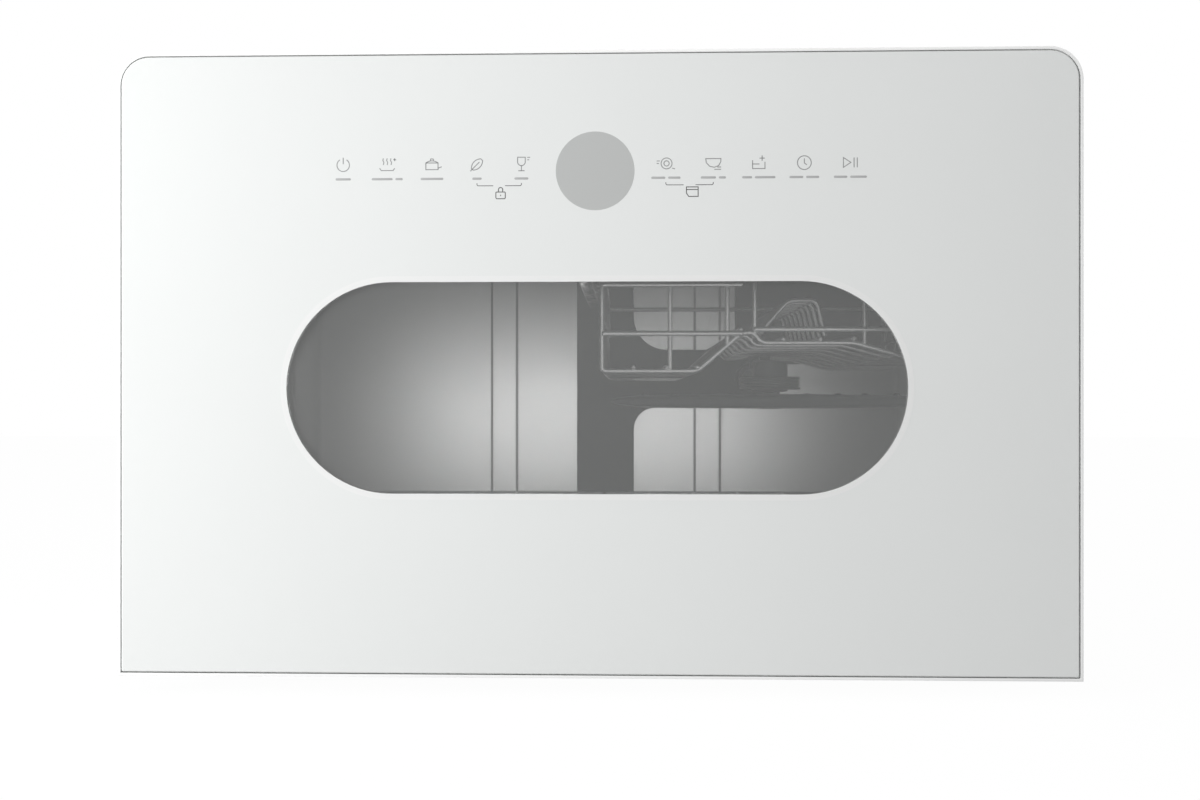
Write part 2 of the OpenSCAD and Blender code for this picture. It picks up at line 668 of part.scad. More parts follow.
// The door's frame: bright rim, web behind the glass, ledge for the liner, window tunnel, finger grip
grip_w = 160;
grip_h = 16;
frame_in_y = liner_y - liner_t - 0.2;
web_back_y = web_y + web_t - 0.1;
module door_frame() color("whitesmoke") difference() {
    union() {
        difference() {
            slab(front_y + 0.6, frame_in_y) door_outline(0);
            slab(front_y - 1, web_y) door_outline(rim_t);
            slab(web_y + web_t, liner_y) door_outline(4);
        }
        difference() {
            slab(frame_in_y - 4, frame_in_y) door_outline(3.9);
            slab(frame_in_y - 5, liner_y) door_outline(ledge_w);
        }
        translate([0, 0, window_z]) slab(web_back_y, frame_in_y - pane_t - 0.4)
            stadium(tunnel_w + 8, tunnel_h + 8);
        block([-grip_w / 2 - 3, web_back_y, door_top - grip_h - 4],
            [grip_w / 2 + 3, frame_in_y, door_top - 3]);
        both_sides() {
            block([notch_x - 3.5, web_back_y, door_gap], [notch_x - 0.5, frame_in_y, notch_z + 3]);
            block([notch_x - 0.6, web_back_y, notch_z], [body_w / 2 - 3, frame_in_y, notch_z + 3]);
            block([260.9, web_back_y, notch_z + 16], [body_w / 2 - 3, frame_in_y - 3, notch_z + 54]);
        }
    }
    translate([0, 0, window_z]) slab(front_y, liner_y) stadium(tunnel_w, tunnel_h);
    block([-grip_w / 2, front_y + 10, door_top - grip_h], [grip_w / 2, frame_in_y - 2.5, door_top + 1]);
    block([-161, front_y, display_z - 24], [161, web_y + web_t + 0.5, display_z + 24]);
    both_sides() {
        block([notch_x, web_y + 1.6, 0], [body_w, door_in_y + 1, notch_z]);
        block([notch_x + 0.3, pivot_y - 10, notch_z - 1], [261.3, pivot_y + 10, notch_z + 4]);
    }
    for (s = liner_screw_spots) bar_y(frame_in_y - 5, liner_y, s.x, s.y, 2);
}

// The white printed front glass, open where the window is clear
module front_glass() color("white") difference() {
    slab(front_y, front_y + glass_t) door_outline(glass_inset);
    translate([0, 0, window_z]) slab(front_y - 1, front_y + glass_t + 1) stadium(window_w, window_h);
    bar_y(front_y - 1, front_y + 1, 0, display_z, display_d / 2);
}

// The clear stretch of the front glass
module window_glass() color("dimgray", 0.5) translate([0, 0, window_z])
    slab(front_y, front_y + glass_t) stadium(window_w, window_h);

module display_lens() color("darkgray")
    bar_y(front_y, front_y + 0.95, 0, display_z, display_d / 2 - 0.1);

// The touch board and the round display module behind the glass
module control_board() color("seagreen") {
    block([-158, web_y + 0.2, display_z - 21], [158, web_y + 1.8, display_z + 21]);
    bar_y(web_y + 1.7, web_y + 9, 0, display_z, 20);
    for (x = [-130, -60, 60, 130])
        block([x - 9, web_y + 1.7, display_z - 8], [x + 9, web_y + 5, display_z + 8]);
}

module inner_window() color("dimgray", 0.5) translate([0, 0, window_z])
    slab(liner_y - liner_t - pane_t - 0.2, liner_y - liner_t - 0.2) stadium(tunnel_w + 8, tunnel_h + 8);

// The dispenser's place in the liner
disp_x = -115;
disp_z = door_top - 70;
disp_w = 148;
disp_h = 82;
bin_x = disp_x - 32;
bin_w = 64;
bin_h = 52;
rinse_x = disp_x + 44;
lid_z = disp_z - bin_h / 2 - 4;
lid_y = door_in_y + 3.6;
lug_x = bin_w / 2 + 3.4;

liner_screw_spots = concat([for (x = [-265, 265], z = [120, 190, 270, 340]) [x, z]],
    [for (x = [-200, -100, 100, 200]) [x, 20]]);
module inner_liner() color("lightgray") difference() {
    slab(liner_y - liner_t, liner_y) {
        panel(body_w - 6, notch_z, door_top - 3, corner_r - 3);
        translate([-notch_x + 3.5, door_gap + 1]) square([2 * notch_x - 7, notch_z - door_gap]);
    }
    translate([0, 0, window_z]) slab(liner_y - 5, liner_y + 5) stadium(tunnel_w - 4, tunnel_h - 4);
    slab(liner_y - 5, liner_y + 5) translate([disp_x, disp_z]) round_rect(disp_w - 6, disp_h - 6, 8);
    for (s = liner_screw_spots) bar_y(liner_y - 5, liner_y + 5, s.x, s.y, 2.1);
}

module liner_screws() color("silver") for (s = liner_screw_spots) {
    bar_y(liner_y + 0.05, door_in_y - 0.1, s.x, s.y, 3.6);
    bar_y(frame_in_y - 3.5, liner_y + 0.1, s.x, s.y, 1.9);
}

// The steel arms that carry the door on the pins, each with the lever that pulls its spring
module hinge_arms() color("silver") both_sides() difference() {
    union() {
        side_slab(256.8, 260.8) {
            translate([pivot_y, pivot_z]) circle(10, $fn = round_fn);
            translate([pivot_y - 8, pivot_z]) square([16, 98]);
            translate([pivot_y, pivot_z + 6]) square([14, 15]);
            translate([pivot_y + 14, pivot_z + 16]) circle(5, $fn = round_fn);
        }
        bar_x(260.7, 262.2, pivot_y + 14, pivot_z + 16, 2);
    }
    bar_x(255, 263, pivot_y, pivot_z, pin_r + 0.06);
}

// The loop on the door that the latch's hook catches
module door_strike() color("silver") difference() {
    union() {
        block([-11, liner_y + 0.1, 358.5], [11, -194, 361]);
        block([-11, liner_y + 0.1, 358.5], [11, liner_y + 1.6, 363.6]);
    }
    block([-7, -206, 355], [7, -198.8, 365]);
}

module dispenser_body() color("gray") difference() {
    union() {
        slab(liner_y - 21, liner_y + 0.4)
            translate([disp_x, disp_z]) round_rect(disp_w - 7, disp_h - 7, 7.5);
        slab(liner_y + 0.1, liner_y + 1.6) translate([disp_x, disp_z]) round_rect(disp_w, disp_h, 10);
        for (x = [bin_x - lug_x - 3, bin_x + lug_x])
            block([x, liner_y + 1, lid_z - 3.4], [x + 3, lid_y + 3, lid_z + 3.4]);
    }
    slab(liner_y - 18, liner_y + 5) translate([bin_x, disp_z]) round_rect(bin_w, bin_h, 6);
    bar_y(liner_y - 14, liner_y + 5, rinse_x, disp_z, 11);
    bar_x(bin_x - lug_x - 4, bin_x + lug_x + 4, lid_y, lid_z, 1.55);
}

// The bin's sprung lid, on its own pin
module dispenser_lid() color("darkgray") {
    slab(liner_y + 1.9, liner_y + 4.6) translate([bin_x, disp_z + 1]) round_rect(bin_w + 4, bin_h + 6, 5);
    bar_x(bin_x - lug_x + 0.4, bin_x + lug_x - 0.4, lid_y, lid_z, 2.2);
    bar_x(bin_x - lug_x - 2.8, bin_x + lug_x + 2.8, lid_y, lid_z, 1.5);
}

module rinse_cap() color("royalblue") {
    bar_y(liner_y - 8, liner_y + 2, rinse_x, disp_z, 10.9);
    bar_y(liner_y + 1.9, liner_y + 3.4, rinse_x, disp_z, 14);
    block([rinse_x - 11, liner_y + 3.3, disp_z - 2], [rinse_x + 11, liner_y + 6.4, disp_z + 2]);
}

// The low rack: long wires turned up at the front and flat at the back, cross wires turned up at
// both sides and rims; four wheel brackets are clipped under it, each a solid of its own
long_pitch = 36;
cross_pitch = 46;
low_back_y = 140;
module lower_rack() color("silver") {
    reach = low_half_w - 2;
    for (k = [-6 : 6])
        wire_yz([[rack_front_y, low_rim], [rack_front_y + 5, low_floor], [low_back_y, low_floor]],
            wire_d, k * long_pitch);
    for (k = [0 : 6])
        wire_xz([[-reach, low_rim], [1 - reach, low_floor - 2],
            [reach - 1, low_floor - 2], [reach, low_rim]], wire_d, rack_front_y + 22 + k * cross_pitch);
    rod([-low_half_w, rack_front_y, low_rim], [low_half_w, rack_front_y, low_rim], 2);
    rod([-low_half_w, low_back_y, low_floor], [low_half_w, low_back_y, low_floor], 2);
    for (x = [-reach, reach]) {
        rod([x, rack_front_y - 1.5, low_rim], [x, low_back_y - 12, low_rim], 2);
        rod([x, low_back_y - 13, low_rim], [x, low_back_y, low_floor], 2);
    }
    both_sides() for (y = wheel_y) {
        block([wheel_x - 4, y - 8, low_floor - 17], [wheel_x - 1.5, y + 8, low_floor + 1]);
        bar_x(wheel_x - 2, wheel_x + wheel_w + 1, y, tub_floor + wheel_r + 0.2, 2.4);
        for (dy = [-6.5, 6.5])
            block([wheel_x - 40, y + dy - 1, low_floor - 3.8],
                [wheel_x - 1.6, y + dy + 1, low_floor - 1.6]);
    }
}

// A rack wheel, dished on both faces; side is -1 on the left and 1 on the right
module wheel(side, y) mirror([side < 0 ? 1 : 0, 0, 0]) difference() {
    bar_x(wheel_x, wheel_x + wheel_w, y, tub_floor + wheel_r + 0.2, wheel_r);
    bar_x(wheel_x - 1, wheel_x + wheel_w + 1, y, tub_floor + wheel_r + 0.2, 2.46);
    for (x = [wheel_x - 1, wheel_x + wheel_w - 1.5]) difference() {
        bar_x(x, x + 2.5, y, tub_floor + wheel_r + 0.2, wheel_r - 1.6);
        bar_x(x - 1, x + 4, y, tub_floor + wheel_r + 0.2, 4);
    }
}
module front_wheel_left() color("gray") wheel(-1, wheel_y[0]);
module front_wheel_right() color("gray") wheel(1, wheel_y[0]);
module rear_wheel_left() color("gray") wheel(-1, wheel_y[1]);
module rear_wheel_right() color("gray") wheel(1, wheel_y[1]);

// A row of tines on a bar that turns, folded flat towards the left
module tine_row(x, length, y0, count, pitch) {
    bar_y(y0 - 12, y0 + (count - 1) * pitch + 12, x, tine_z, 1.8);
    for (k = [0 : count - 1]) rod([x, y0 + k * pitch, tine_z], [x - length, y0 + k * pitch, tine_z], 1.4);
}
left_tine_x = -54;
right_tine_x = 162;
module left_tines() color("silver") tine_row(left_tine_x, 68, -150, 7, 26);
module right_tines() color("silver") tine_row(right_tine_x, 48, -150, 7, 26);

// The half-width upper rack: cross wires bent to the stepped floor, long wires, rims and runners
low_right_z = 194.7;
up_profile = [[up_left_x, up_rim], [up_left_x, up_floor + 3], [up_left_x + 3, up_floor], [60.5, up_floor],
    [86.5, 208.6], [94, 209.5], [99, step_z], [154, step_z], [184, low_right_z],
    [up_right_x - 3, low_right_z], [up_right_x, low_right_z + 3], [up_right_x, up_rim]];
up_pitch = 46;
up_last_y = rack_front_y + 8 * up_pitch;
long_wires = [[22, up_floor], [42, up_floor], [60.5, up_floor], [86.5, 208.6], [112, step_z],
    [134, step_z], [154, step_z], [184, low_right_z], [200, low_right_z], [217, low_right_z]];
module upper_rack() color("silver") {
    for (k = [0 : 8]) wire_xz(up_profile, wire_d, rack_front_y + k * up_pitch);
    for (w = long_wires) rod([w.x, rack_front_y - 2, w.y], [w.x, up_last_y + 2, w.y], 1.6);
    for (x = [up_left_x, up_right_x], z = [up_rim, 216])
        rod([x, rack_front_y - 1, z], [x, up_last_y + 1, z], 2);
    for (w = [[rack_front_y, up_rim], [rack_front_y, 238], [up_last_y, up_rim - 3.5]])
        rod([up_left_x - 1, w.x, w.y], [up_right_x + 1, w.x, w.y], 2);
    rod([up_left_x, rack_front_y, 208.6], [88, rack_front_y, 208.6], 1.8);
    rod([94, rack_front_y, 211], [up_right_x, rack_front_y, 211], 1.8);
    for (w = [[44, up_floor], [78.3, 201.6], [94.8, 208], [160.4, 201.4], [200, low_right_z]])
        rod([w.x, rack_front_y, w.y], [w.x, rack_front_y, up_rim], 1.5);
    for (side = [[up_left_x, left_rail_x - 2.2], [up_right_x, right_rail_x + 2.2]]) {
        rod([side[1], rack_front_y + 4, rail_z], [side[1], up_last_y - 4, rail_z], 2.4);
        for (k = [1 : 7])
            let (y = rack_front_y + k * up_pitch) rod([side[0], y, up_rim], [side[1], y, rail_z], 1.5);
    }
}

// The folding cup rests of the upper rack: nine bent wires on one bar
cup_count = 9;
cup_pitch = 26;
cup_y = -172;
cup_shape = [[cup_bar_x, cup_bar_z], [117.6, 230], [133, 230], [136, 227], [140, cup_bar_z - 2.5]];
module cup_tines() color("silver") {
    last = cup_y + (cup_count - 1) * cup_pitch;
    for (k = [0 : cup_count - 1]) wire_xz(cup_shape, 2.6, cup_y + k * cup_pitch);
    bar_y(cup_y - 14, last + 14, cup_bar_x, cup_bar_z, 1.8);
    rod([133, cup_y - 1, 230], [133, last + 1, 230], 1.3);
}

// The pipe under the upper rack, with the hub that its spray arm turns on
module feed_pipe() color("gray") difference() {
    union() {
        bar_y(pipe_y, 174, pipe_x, pipe_z, 8);
        bar_z(up_arm_high + 0.9, pipe_z + 10, pipe_x, pipe_y, 13);
        bar_z(up_arm_high + 2.6, up_arm_high + 12, pipe_x, pipe_y, 22);
        bar_z(up_arm_low + 0.5, up_arm_high + 1.4, pipe_x, pipe_y, 5);
        bar_z(up_arm_low + 0.5, up_arm_low + 3.1, pipe_x, pipe_y, 8);
        for (k = [5, 7]) translate([pipe_x, rack_front_y + k * up_pitch, 0])
            block([-4, -4, pipe_z + 6], [4, 4, step_z - wire_d / 2 - 0.1]);
    }
    bar_y(pipe_y + 14, 175, pipe_x, pipe_z, 6);
}

module upper_spray_arm() color("gray") translate([pipe_x, pipe_y, 0])
    spray_arm(up_arm_r, 26, up_arm_low, up_arm_high, 5.1, 4, 8.4);

cabinet_wrap();
rear_panel();
rear_screws();
base_tray();
front_foot_left();
front_foot_right();
rear_feet();
hinge_brackets();
spring_rods();
door_springs();
tub();
tub_seal();
insulation();
latch_body();
latch_hook();
sump();
filter_plate();
filter_cup();
wash_pump();
pump_impeller();
flow_heater();
riser_hose();
spray_duct();
drain_pump();
drain_impeller();
drain_hose();
water_block();
fill_hose();
air_breaker();
softener();
salt_cap();
float();
power_box();
cord_gland();
lower_spray_arm();
upper_rails();
door_frame();
front_glass();
window_glass();
display_lens();
control_board();
inner_window();
inner_liner();
liner_screws();
hinge_arms();
door_strike();
dispenser_body();
dispenser_lid();
rinse_cap();
lower_rack();
front_wheel_left();
front_wheel_right();
rear_wheel_left();
rear_wheel_right();
left_tines();
right_tines();
upper_rack();
cup_tines();
feed_pipe();
upper_spray_arm();
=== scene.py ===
"""Countertop dishwasher with a white glass drop-down door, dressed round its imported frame.

Lengths are in millimetres until a mesh is made. X runs to the right, Y to the back and Z up, as in the frame.
"""

import logging
import math
from dataclasses import dataclass, field
from enum import Enum
from typing import Any, Sequence

import bmesh
import bpy
import numpy as np
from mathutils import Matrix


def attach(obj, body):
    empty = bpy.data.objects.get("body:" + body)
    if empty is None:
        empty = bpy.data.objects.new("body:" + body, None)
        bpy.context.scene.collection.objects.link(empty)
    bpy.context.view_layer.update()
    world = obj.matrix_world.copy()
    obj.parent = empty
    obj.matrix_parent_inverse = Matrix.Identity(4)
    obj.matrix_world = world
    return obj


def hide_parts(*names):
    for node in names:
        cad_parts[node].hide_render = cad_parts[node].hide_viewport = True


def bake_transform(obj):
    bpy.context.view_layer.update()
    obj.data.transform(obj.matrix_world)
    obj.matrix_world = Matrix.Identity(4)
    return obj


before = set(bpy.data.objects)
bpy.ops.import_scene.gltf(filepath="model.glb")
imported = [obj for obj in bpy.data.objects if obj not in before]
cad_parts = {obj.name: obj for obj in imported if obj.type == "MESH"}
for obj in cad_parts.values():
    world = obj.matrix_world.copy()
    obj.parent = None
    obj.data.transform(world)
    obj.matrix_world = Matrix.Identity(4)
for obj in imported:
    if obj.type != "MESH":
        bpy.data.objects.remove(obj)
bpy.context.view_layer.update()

Array = np.ndarray
MM = 0.001
LOG = logging.getLogger("dishwasher")


# ---- Shader maths and finishes ----


class Signal:
    """A shader socket that takes part in arithmetic; each operator adds one Math node."""

    def __init__(self, tree: bpy.types.NodeTree, socket: bpy.types.NodeSocket) -> None:
        """Keeps the tree and the socket."""
        self.tree = tree
        self.socket = socket

    def _math(self, operation: str, first: Any, second: Any) -> "Signal":
        """Adds a Math node on two values or signals and returns its result."""
        node = self.tree.nodes.new("ShaderNodeMath")
        node.operation = operation
        for socket, value in zip(node.inputs, (first, second)):
            if isinstance(value, Signal):
                self.tree.links.new(value.socket, socket)
            else:
                socket.default_value = value
        return Signal(self.tree, node.outputs[0])

    def __add__(self, other: Any) -> "Signal":
        """Sum of this and another."""
        return self._math("ADD", self, other)

    def __radd__(self, other: Any) -> "Signal":
        """Sum of another and this."""
        return self._math("ADD", other, self)

    def __sub__(self, other: Any) -> "Signal":
        """This less another."""
        return self._math("SUBTRACT", self, other)

    def __rsub__(self, other: Any) -> "Signal":
        """Another less this."""
        return self._math("SUBTRACT", other, self)

    def __mul__(self, other: Any) -> "Signal":
        """Product of this and another."""
        return self._math("MULTIPLY", self, other)

    def __rmul__(self, other: Any) -> "Signal":
        """Product of another and this."""
        return self._math("MULTIPLY", other, self)

    def __abs__(self) -> "Signal":
        """Size of this, whatever its sign."""
        return self._math("ABSOLUTE", self, 0.0)


class Bench:
    """A new material and the nodes that are put on it."""

    def __init__(self, name: str) -> None:
        """Starts an empty node material."""
        self.material = bpy.data.materials.new(name)
        self.material.use_nodes = True
        self.tree = self.material.node_tree
        self.tree.nodes.clear()

    def node(self, kind: str, settings: dict | None = None, sockets: dict | None = None) -> bpy.types.Node:
        """Adds a node of a type.

        Args:
            kind: the type's name after ShaderNode.
            settings: the node's own properties, set first.
            sockets: values or signals for its inputs, by name or number.

        Returns:
            The new node.
        """
        made = self.tree.nodes.new("ShaderNode" + kind)
        for key, value in (settings or {}).items():
            setattr(made, key, value)
        for key, value in (sockets or {}).items():
            if isinstance(value, Signal):
                self.tree.links.new(value.socket, made.inputs[key])
            else:
                made.inputs[key].default_value = value
        return made

    def signal(self, node: bpy.types.Node, output: int | str = 0) -> Signal:
        """One output of a node as a signal."""
        return Signal(self.tree, node.outputs[output])

    def spot(self, stretch: Sequence[float] = (1, 1, 1)) -> Signal:
        """The object's own coordinates, scaled along each axis."""
        where = self.signal(self.node("TexCoord"), "Object")
        return self.signal(self.node("Mapping", sockets={"Vector": where, "Scale": tuple(stretch)}))

    def noise(self, size: float, detail: float = 3.0, stretch: Sequence[float] = (1, 1, 1)) -> Signal:
        """Noise from 0 to 1 whose lumps are about `size` millimetres."""
        sockets = {"Vector": self.spot(stretch), "Scale": 1 / (size * MM), "Detail": detail}
        return self.signal(self.node("TexNoise", sockets=sockets))

    def cells(self, size: float) -> Signal:
        """A grey for each cell of a Voronoi pattern whose cells are about `size` millimetres."""
        made = self.node("TexVoronoi", sockets={"Vector": self.spot(), "Scale": 1 / (size * MM)})
        split = self.node("SeparateColor", sockets={"Color": self.signal(made, "Color")})
        return self.signal(split, 0)

    def spread(self, value: Signal, low: float, high: float) -> Signal:
        """Stretches the middle of a noise, 0.3 to 0.7, over low to high."""
        limits = {"Value": value, 1: 0.3, 2: 0.7, 3: low, 4: high}
        return self.signal(self.node("MapRange", sockets=limits))

    def near(self, value: Signal, place: float, width: float) -> Signal:
        """1 where a value in metres is at `place` millimetres, falling softly to 0 at `width` from there."""
        limits = {"Value": abs(value - place * MM), 1: 0.3 * width * MM, 2: width * MM, 3: 1.0, 4: 0.0}
        return self.signal(self.node("MapRange", {"interpolation_type": "SMOOTHSTEP"}, limits))

    def step(self, value: Signal, place: float) -> Signal:
        """0 below `place` millimetres and 1 above it, with a slope of 2 mm."""
        limits = {"Value": value, 1: (place - 1) * MM, 2: (place + 1) * MM, 3: 0.0, 4: 1.0}
        return self.signal(self.node("MapRange", sockets=limits))

    def mix(self, factor: Any, first: Any, second: Any) -> Signal:
        """A colour between two colours."""
        node = self.node("Mix", {"data_type": "RGBA"}, {0: factor, 6: rgba(first), 7: rgba(second)})
        return self.signal(node, 2)

    def bump(self, height: Signal, depth: float) -> Signal:
        """A normal from a height pattern that is `depth` millimetres deep."""
        sockets = {"Height": height, "Distance": depth * MM, "Strength": 1.0}
        return self.signal(self.node("Bump", sockets=sockets))

    def close(self, **sockets: Any) -> bpy.types.Material:
        """Puts the surface shader on; a name such as base_color stands for the socket Base Color."""
        named = {key.replace("_", " ").title().replace("Ior", "IOR"): value for key, value in sockets.items()}
        shader = self.node("BsdfPrincipled", sockets=named)
        out = self.node("OutputMaterial")
        self.tree.links.new(shader.outputs[0], out.inputs["Surface"])
        return self.material


def rgba(colour: Any) -> Any:
    """A colour of three numbers with its alpha added; a signal stays as it is."""
    return colour if isinstance(colour, Signal) else (*colour[:3], 1.0)


def toned(colour: Sequence[float], factor: float) -> tuple:
    """A colour made lighter or darker."""
    return tuple(min(1.0, part * factor) for part in colour)


@dataclass(frozen=True)
class Finish:
    """What every finish has: a name, a colour and a dullness from 0, mirror, to 1, chalk."""

    name: str
    colour: tuple
    dullness: float = 0.4

    def material(self) -> bpy.types.Material:
        """The material of this finish, made the first time that it is asked for."""
        return bpy.data.materials.get(self.name) or self.make(Bench(self.name))

    def make(self, bench: Bench) -> bpy.types.Material:
        """Puts the finish's nodes on a bench."""
        return bench.close(base_color=rgba(self.colour), roughness=self.dullness)


@dataclass(frozen=True)
class Moulded(Finish):
    """Moulded plastic or rubber: a cloudy tone, and a fine grain that the mould leaves."""

    grain: float = 0.5
    depth: float = 0.012
    cloud: float = 0.05
    coat: float = 0.0

    def make(self, bench: Bench) -> bpy.types.Material:
        """Colour and gloss follow large clouds, the bump a fine grain."""
        clouds = bench.spread(bench.noise(45, 4), 0, 1)
        tone = bench.mix(clouds, toned(self.colour, 1 - self.cloud), toned(self.colour, 1 + self.cloud))
        rough = self.dullness + (clouds - 0.5) * 0.1
        grain = bench.bump(bench.noise(self.grain, 2), self.depth)
        return bench.close(base_color=tone, roughness=rough, normal=grain, coat_weight=self.coat)


@dataclass(frozen=True)
class Enamel(Finish):
    """Stoved paint on sheet steel: a slight orange peel and a faint change of gloss."""

    def make(self, bench: Bench) -> bpy.types.Material:
        """A lacquer coat over a nearly even tone, with a soft ripple for the peel."""
        clouds = bench.spread(bench.noise(120, 3), 0, 1)
        tone = bench.mix(clouds, toned(self.colour, 0.985), self.colour)
        peel = bench.bump(bench.noise(1.6, 1), 0.006)
        return bench.close(base_color=tone, roughness=self.dullness + clouds * 0.06, normal=peel,
                           coat_weight=0.25, coat_roughness=0.12)


@dataclass(frozen=True)
class Steel(Finish):
    """Brushed sheet: streaks along one direction, with faint smears across them."""

    stretch: tuple = (1.0, 1.0, 0.02)
    streak: float = 0.35
    metal: float = 1.0

    def make(self, bench: Bench) -> bpy.types.Material:
        """Streaks drive the roughness and a shallow bump; clouds and streaks tint the metal."""
        streaks = bench.noise(self.streak, 3, self.stretch)
        clouds = bench.spread(bench.noise(70, 4), 0, 1)
        tone = bench.mix(clouds * 0.6 + streaks * 0.4, toned(self.colour, 0.92), toned(self.colour, 1.05))
        rough = self.dullness + (streaks - 0.5) * 0.16 + clouds * 0.05
        return bench.close(base_color=tone, roughness=rough, metallic=self.metal,
                           normal=bench.bump(streaks, 0.004))


@dataclass(frozen=True)
class PressedSteel(Steel):
    """The tub's satin sheet: soft streaks, and painted shade, a dark line, along each edge of the pressed
    ribs.
    """

    # where the painted crease shade lies: |x| on the back wall, y on the side walls
    crease_shade_x: tuple = (76.0, 97.5)
    crease_shade_y: tuple = (66.0, 101.0)
    back_from: float = 192.0
    back_foot: float = 84.0
    side_from: float = 244.0
    side_foot: float = 98.0

    def make(self, bench: Bench) -> bpy.types.Material:
        """Painted crease shade lies at the ribs' edges, in |x| on the back and in y on the sides; it darkens
        the colour and dulls the gloss.
        """
        split = bench.node("SeparateXYZ", sockets={"Vector": bench.spot()})
        x, y, z = (bench.signal(split, axis) for axis in "XYZ")
        on_back = bench.step(y, self.back_from) * bench.step(z, self.back_foot)
        on_side = bench.step(abs(x), self.side_from) * bench.step(z, self.side_foot)
        back = bench.near(abs(x), self.crease_shade_x[0], 1.5) + bench.near(abs(x), self.crease_shade_x[1], 1.5)
        side = bench.near(y, self.crease_shade_y[0], 1.3) + bench.near(y, self.crease_shade_y[1], 1.3)
        # painted shade: a mask of dark lines along the rib edges, standing in for the shade in the creases
        painted_crease_shade = back * on_back + side * on_side
        streaks = bench.noise(self.streak, 3, self.stretch)
        clouds = bench.spread(bench.noise(70, 4), 0, 1)
        sheet = bench.mix(clouds * 0.6 + streaks * 0.4, toned(self.colour, 0.96), toned(self.colour, 1.03))
        rough = self.dullness + (streaks - 0.5) * 0.1 + painted_crease_shade * 0.2
        # painted shade: the mask darkens the steel's colour towards 0.12 of itself along the rib edges
        tone = bench.mix(painted_crease_shade * 0.75, sheet, toned(self.colour, 0.12))
        return bench.close(base_color=tone, roughness=rough, metallic=self.metal,
                           normal=bench.bump(streaks, 0.002))


@dataclass(frozen=True)
class Zinc(Finish):
    """Zinc-plated sheet: a spangle of crystals, each with its own tone and gloss."""

    spangle: float = 7.0

    def make(self, bench: Bench) -> bpy.types.Material:
        """Each crystal has one grey, which sets its tone and its roughness."""
        crystals = bench.cells(self.spangle)
        grime = bench.spread(bench.noise(30, 5), 0, 1)
        tone = bench.mix(crystals * 0.5 + grime * 0.5, toned(self.colour, 0.88), toned(self.colour, 1.08))
        return bench.close(base_color=tone, roughness=self.dullness + crystals * 0.12, metallic=1.0,
                           normal=bench.bump(bench.noise(0.8, 3), 0.006))


@dataclass(frozen=True)
class Felt(Finish):
    """Bitumen felt: matted fibres over soft lumps."""

    def make(self, bench: Bench) -> bpy.types.Material:
        """Two noises, one of fibres and one of lumps, set the tone and the bump."""
        fibres = bench.noise(0.9, 6, (1, 0.25, 1))
        lumps = bench.noise(14, 4)
        tone = bench.mix(fibres, toned(self.colour, 0.6), toned(self.colour, 1.5))
        matted = bench.bump(fibres + lumps, 0.4)
        return bench.close(base_color=tone, roughness=0.95, normal=matted, sheen_weight=0.2)


@dataclass(frozen=True)
class Circuit(Finish):
    """A circuit board's lacquer with its copper runs under it."""

    def make(self, bench: Bench) -> bpy.types.Material:
        """A brick pattern gives the runs, which are lighter and stand a little proud."""
        sockets = {"Vector": bench.spot(), "Scale": 90.0, "Mortar Size": 0.035, "Brick Width": 1.7,
                   "Row Height": 0.4}
        runs = bench.signal(bench.node("TexBrick", {"offset": 0.37}, sockets), 1)
        tone = bench.mix(runs, self.colour, toned(self.colour, 1.9))
        proud = bench.bump(runs, 0.05)
        return bench.close(base_color=tone, roughness=self.dullness, normal=proud, coat_weight=0.4)


@dataclass(frozen=True)
class PrintedGlass(Finish):
    """Float glass, printed on its back: an even colour under a polished face."""

    gloss: float = 0.6

    def make(self, bench: Bench) -> bpy.types.Material:
        """The print varies by one part in a hundred; the face is polished with faint wipe marks."""
        clouds = bench.spread(bench.noise(90, 2), 0, 1)
        wipes = bench.noise(8, 4, (0.3, 1, 1.4))
        tone = bench.mix(clouds, toned(self.colour, 0.992), self.colour)
        return bench.close(base_color=tone, roughness=self.dullness + wipes * 0.05, ior=1.5,
                           coat_weight=self.gloss, coat_roughness=0.03)


@dataclass(frozen=True)
class ClearGlass(Finish):
    """Clear or smoked glass: a thin grey veil over what is behind it."""

    veil: float = 0.2

    def make(self, bench: Bench) -> bpy.types.Material:
        """Alpha is the veil, with faint wipe marks in it and in the gloss."""
        wipes = bench.spread(bench.noise(40, 4, (0.4, 1, 1)), 0, 1)
        return bench.close(base_color=rgba(self.colour), roughness=self.dullness + wipes * 0.02, ior=1.5,
                           alpha=self.veil * (0.97 + wipes * 0.06))


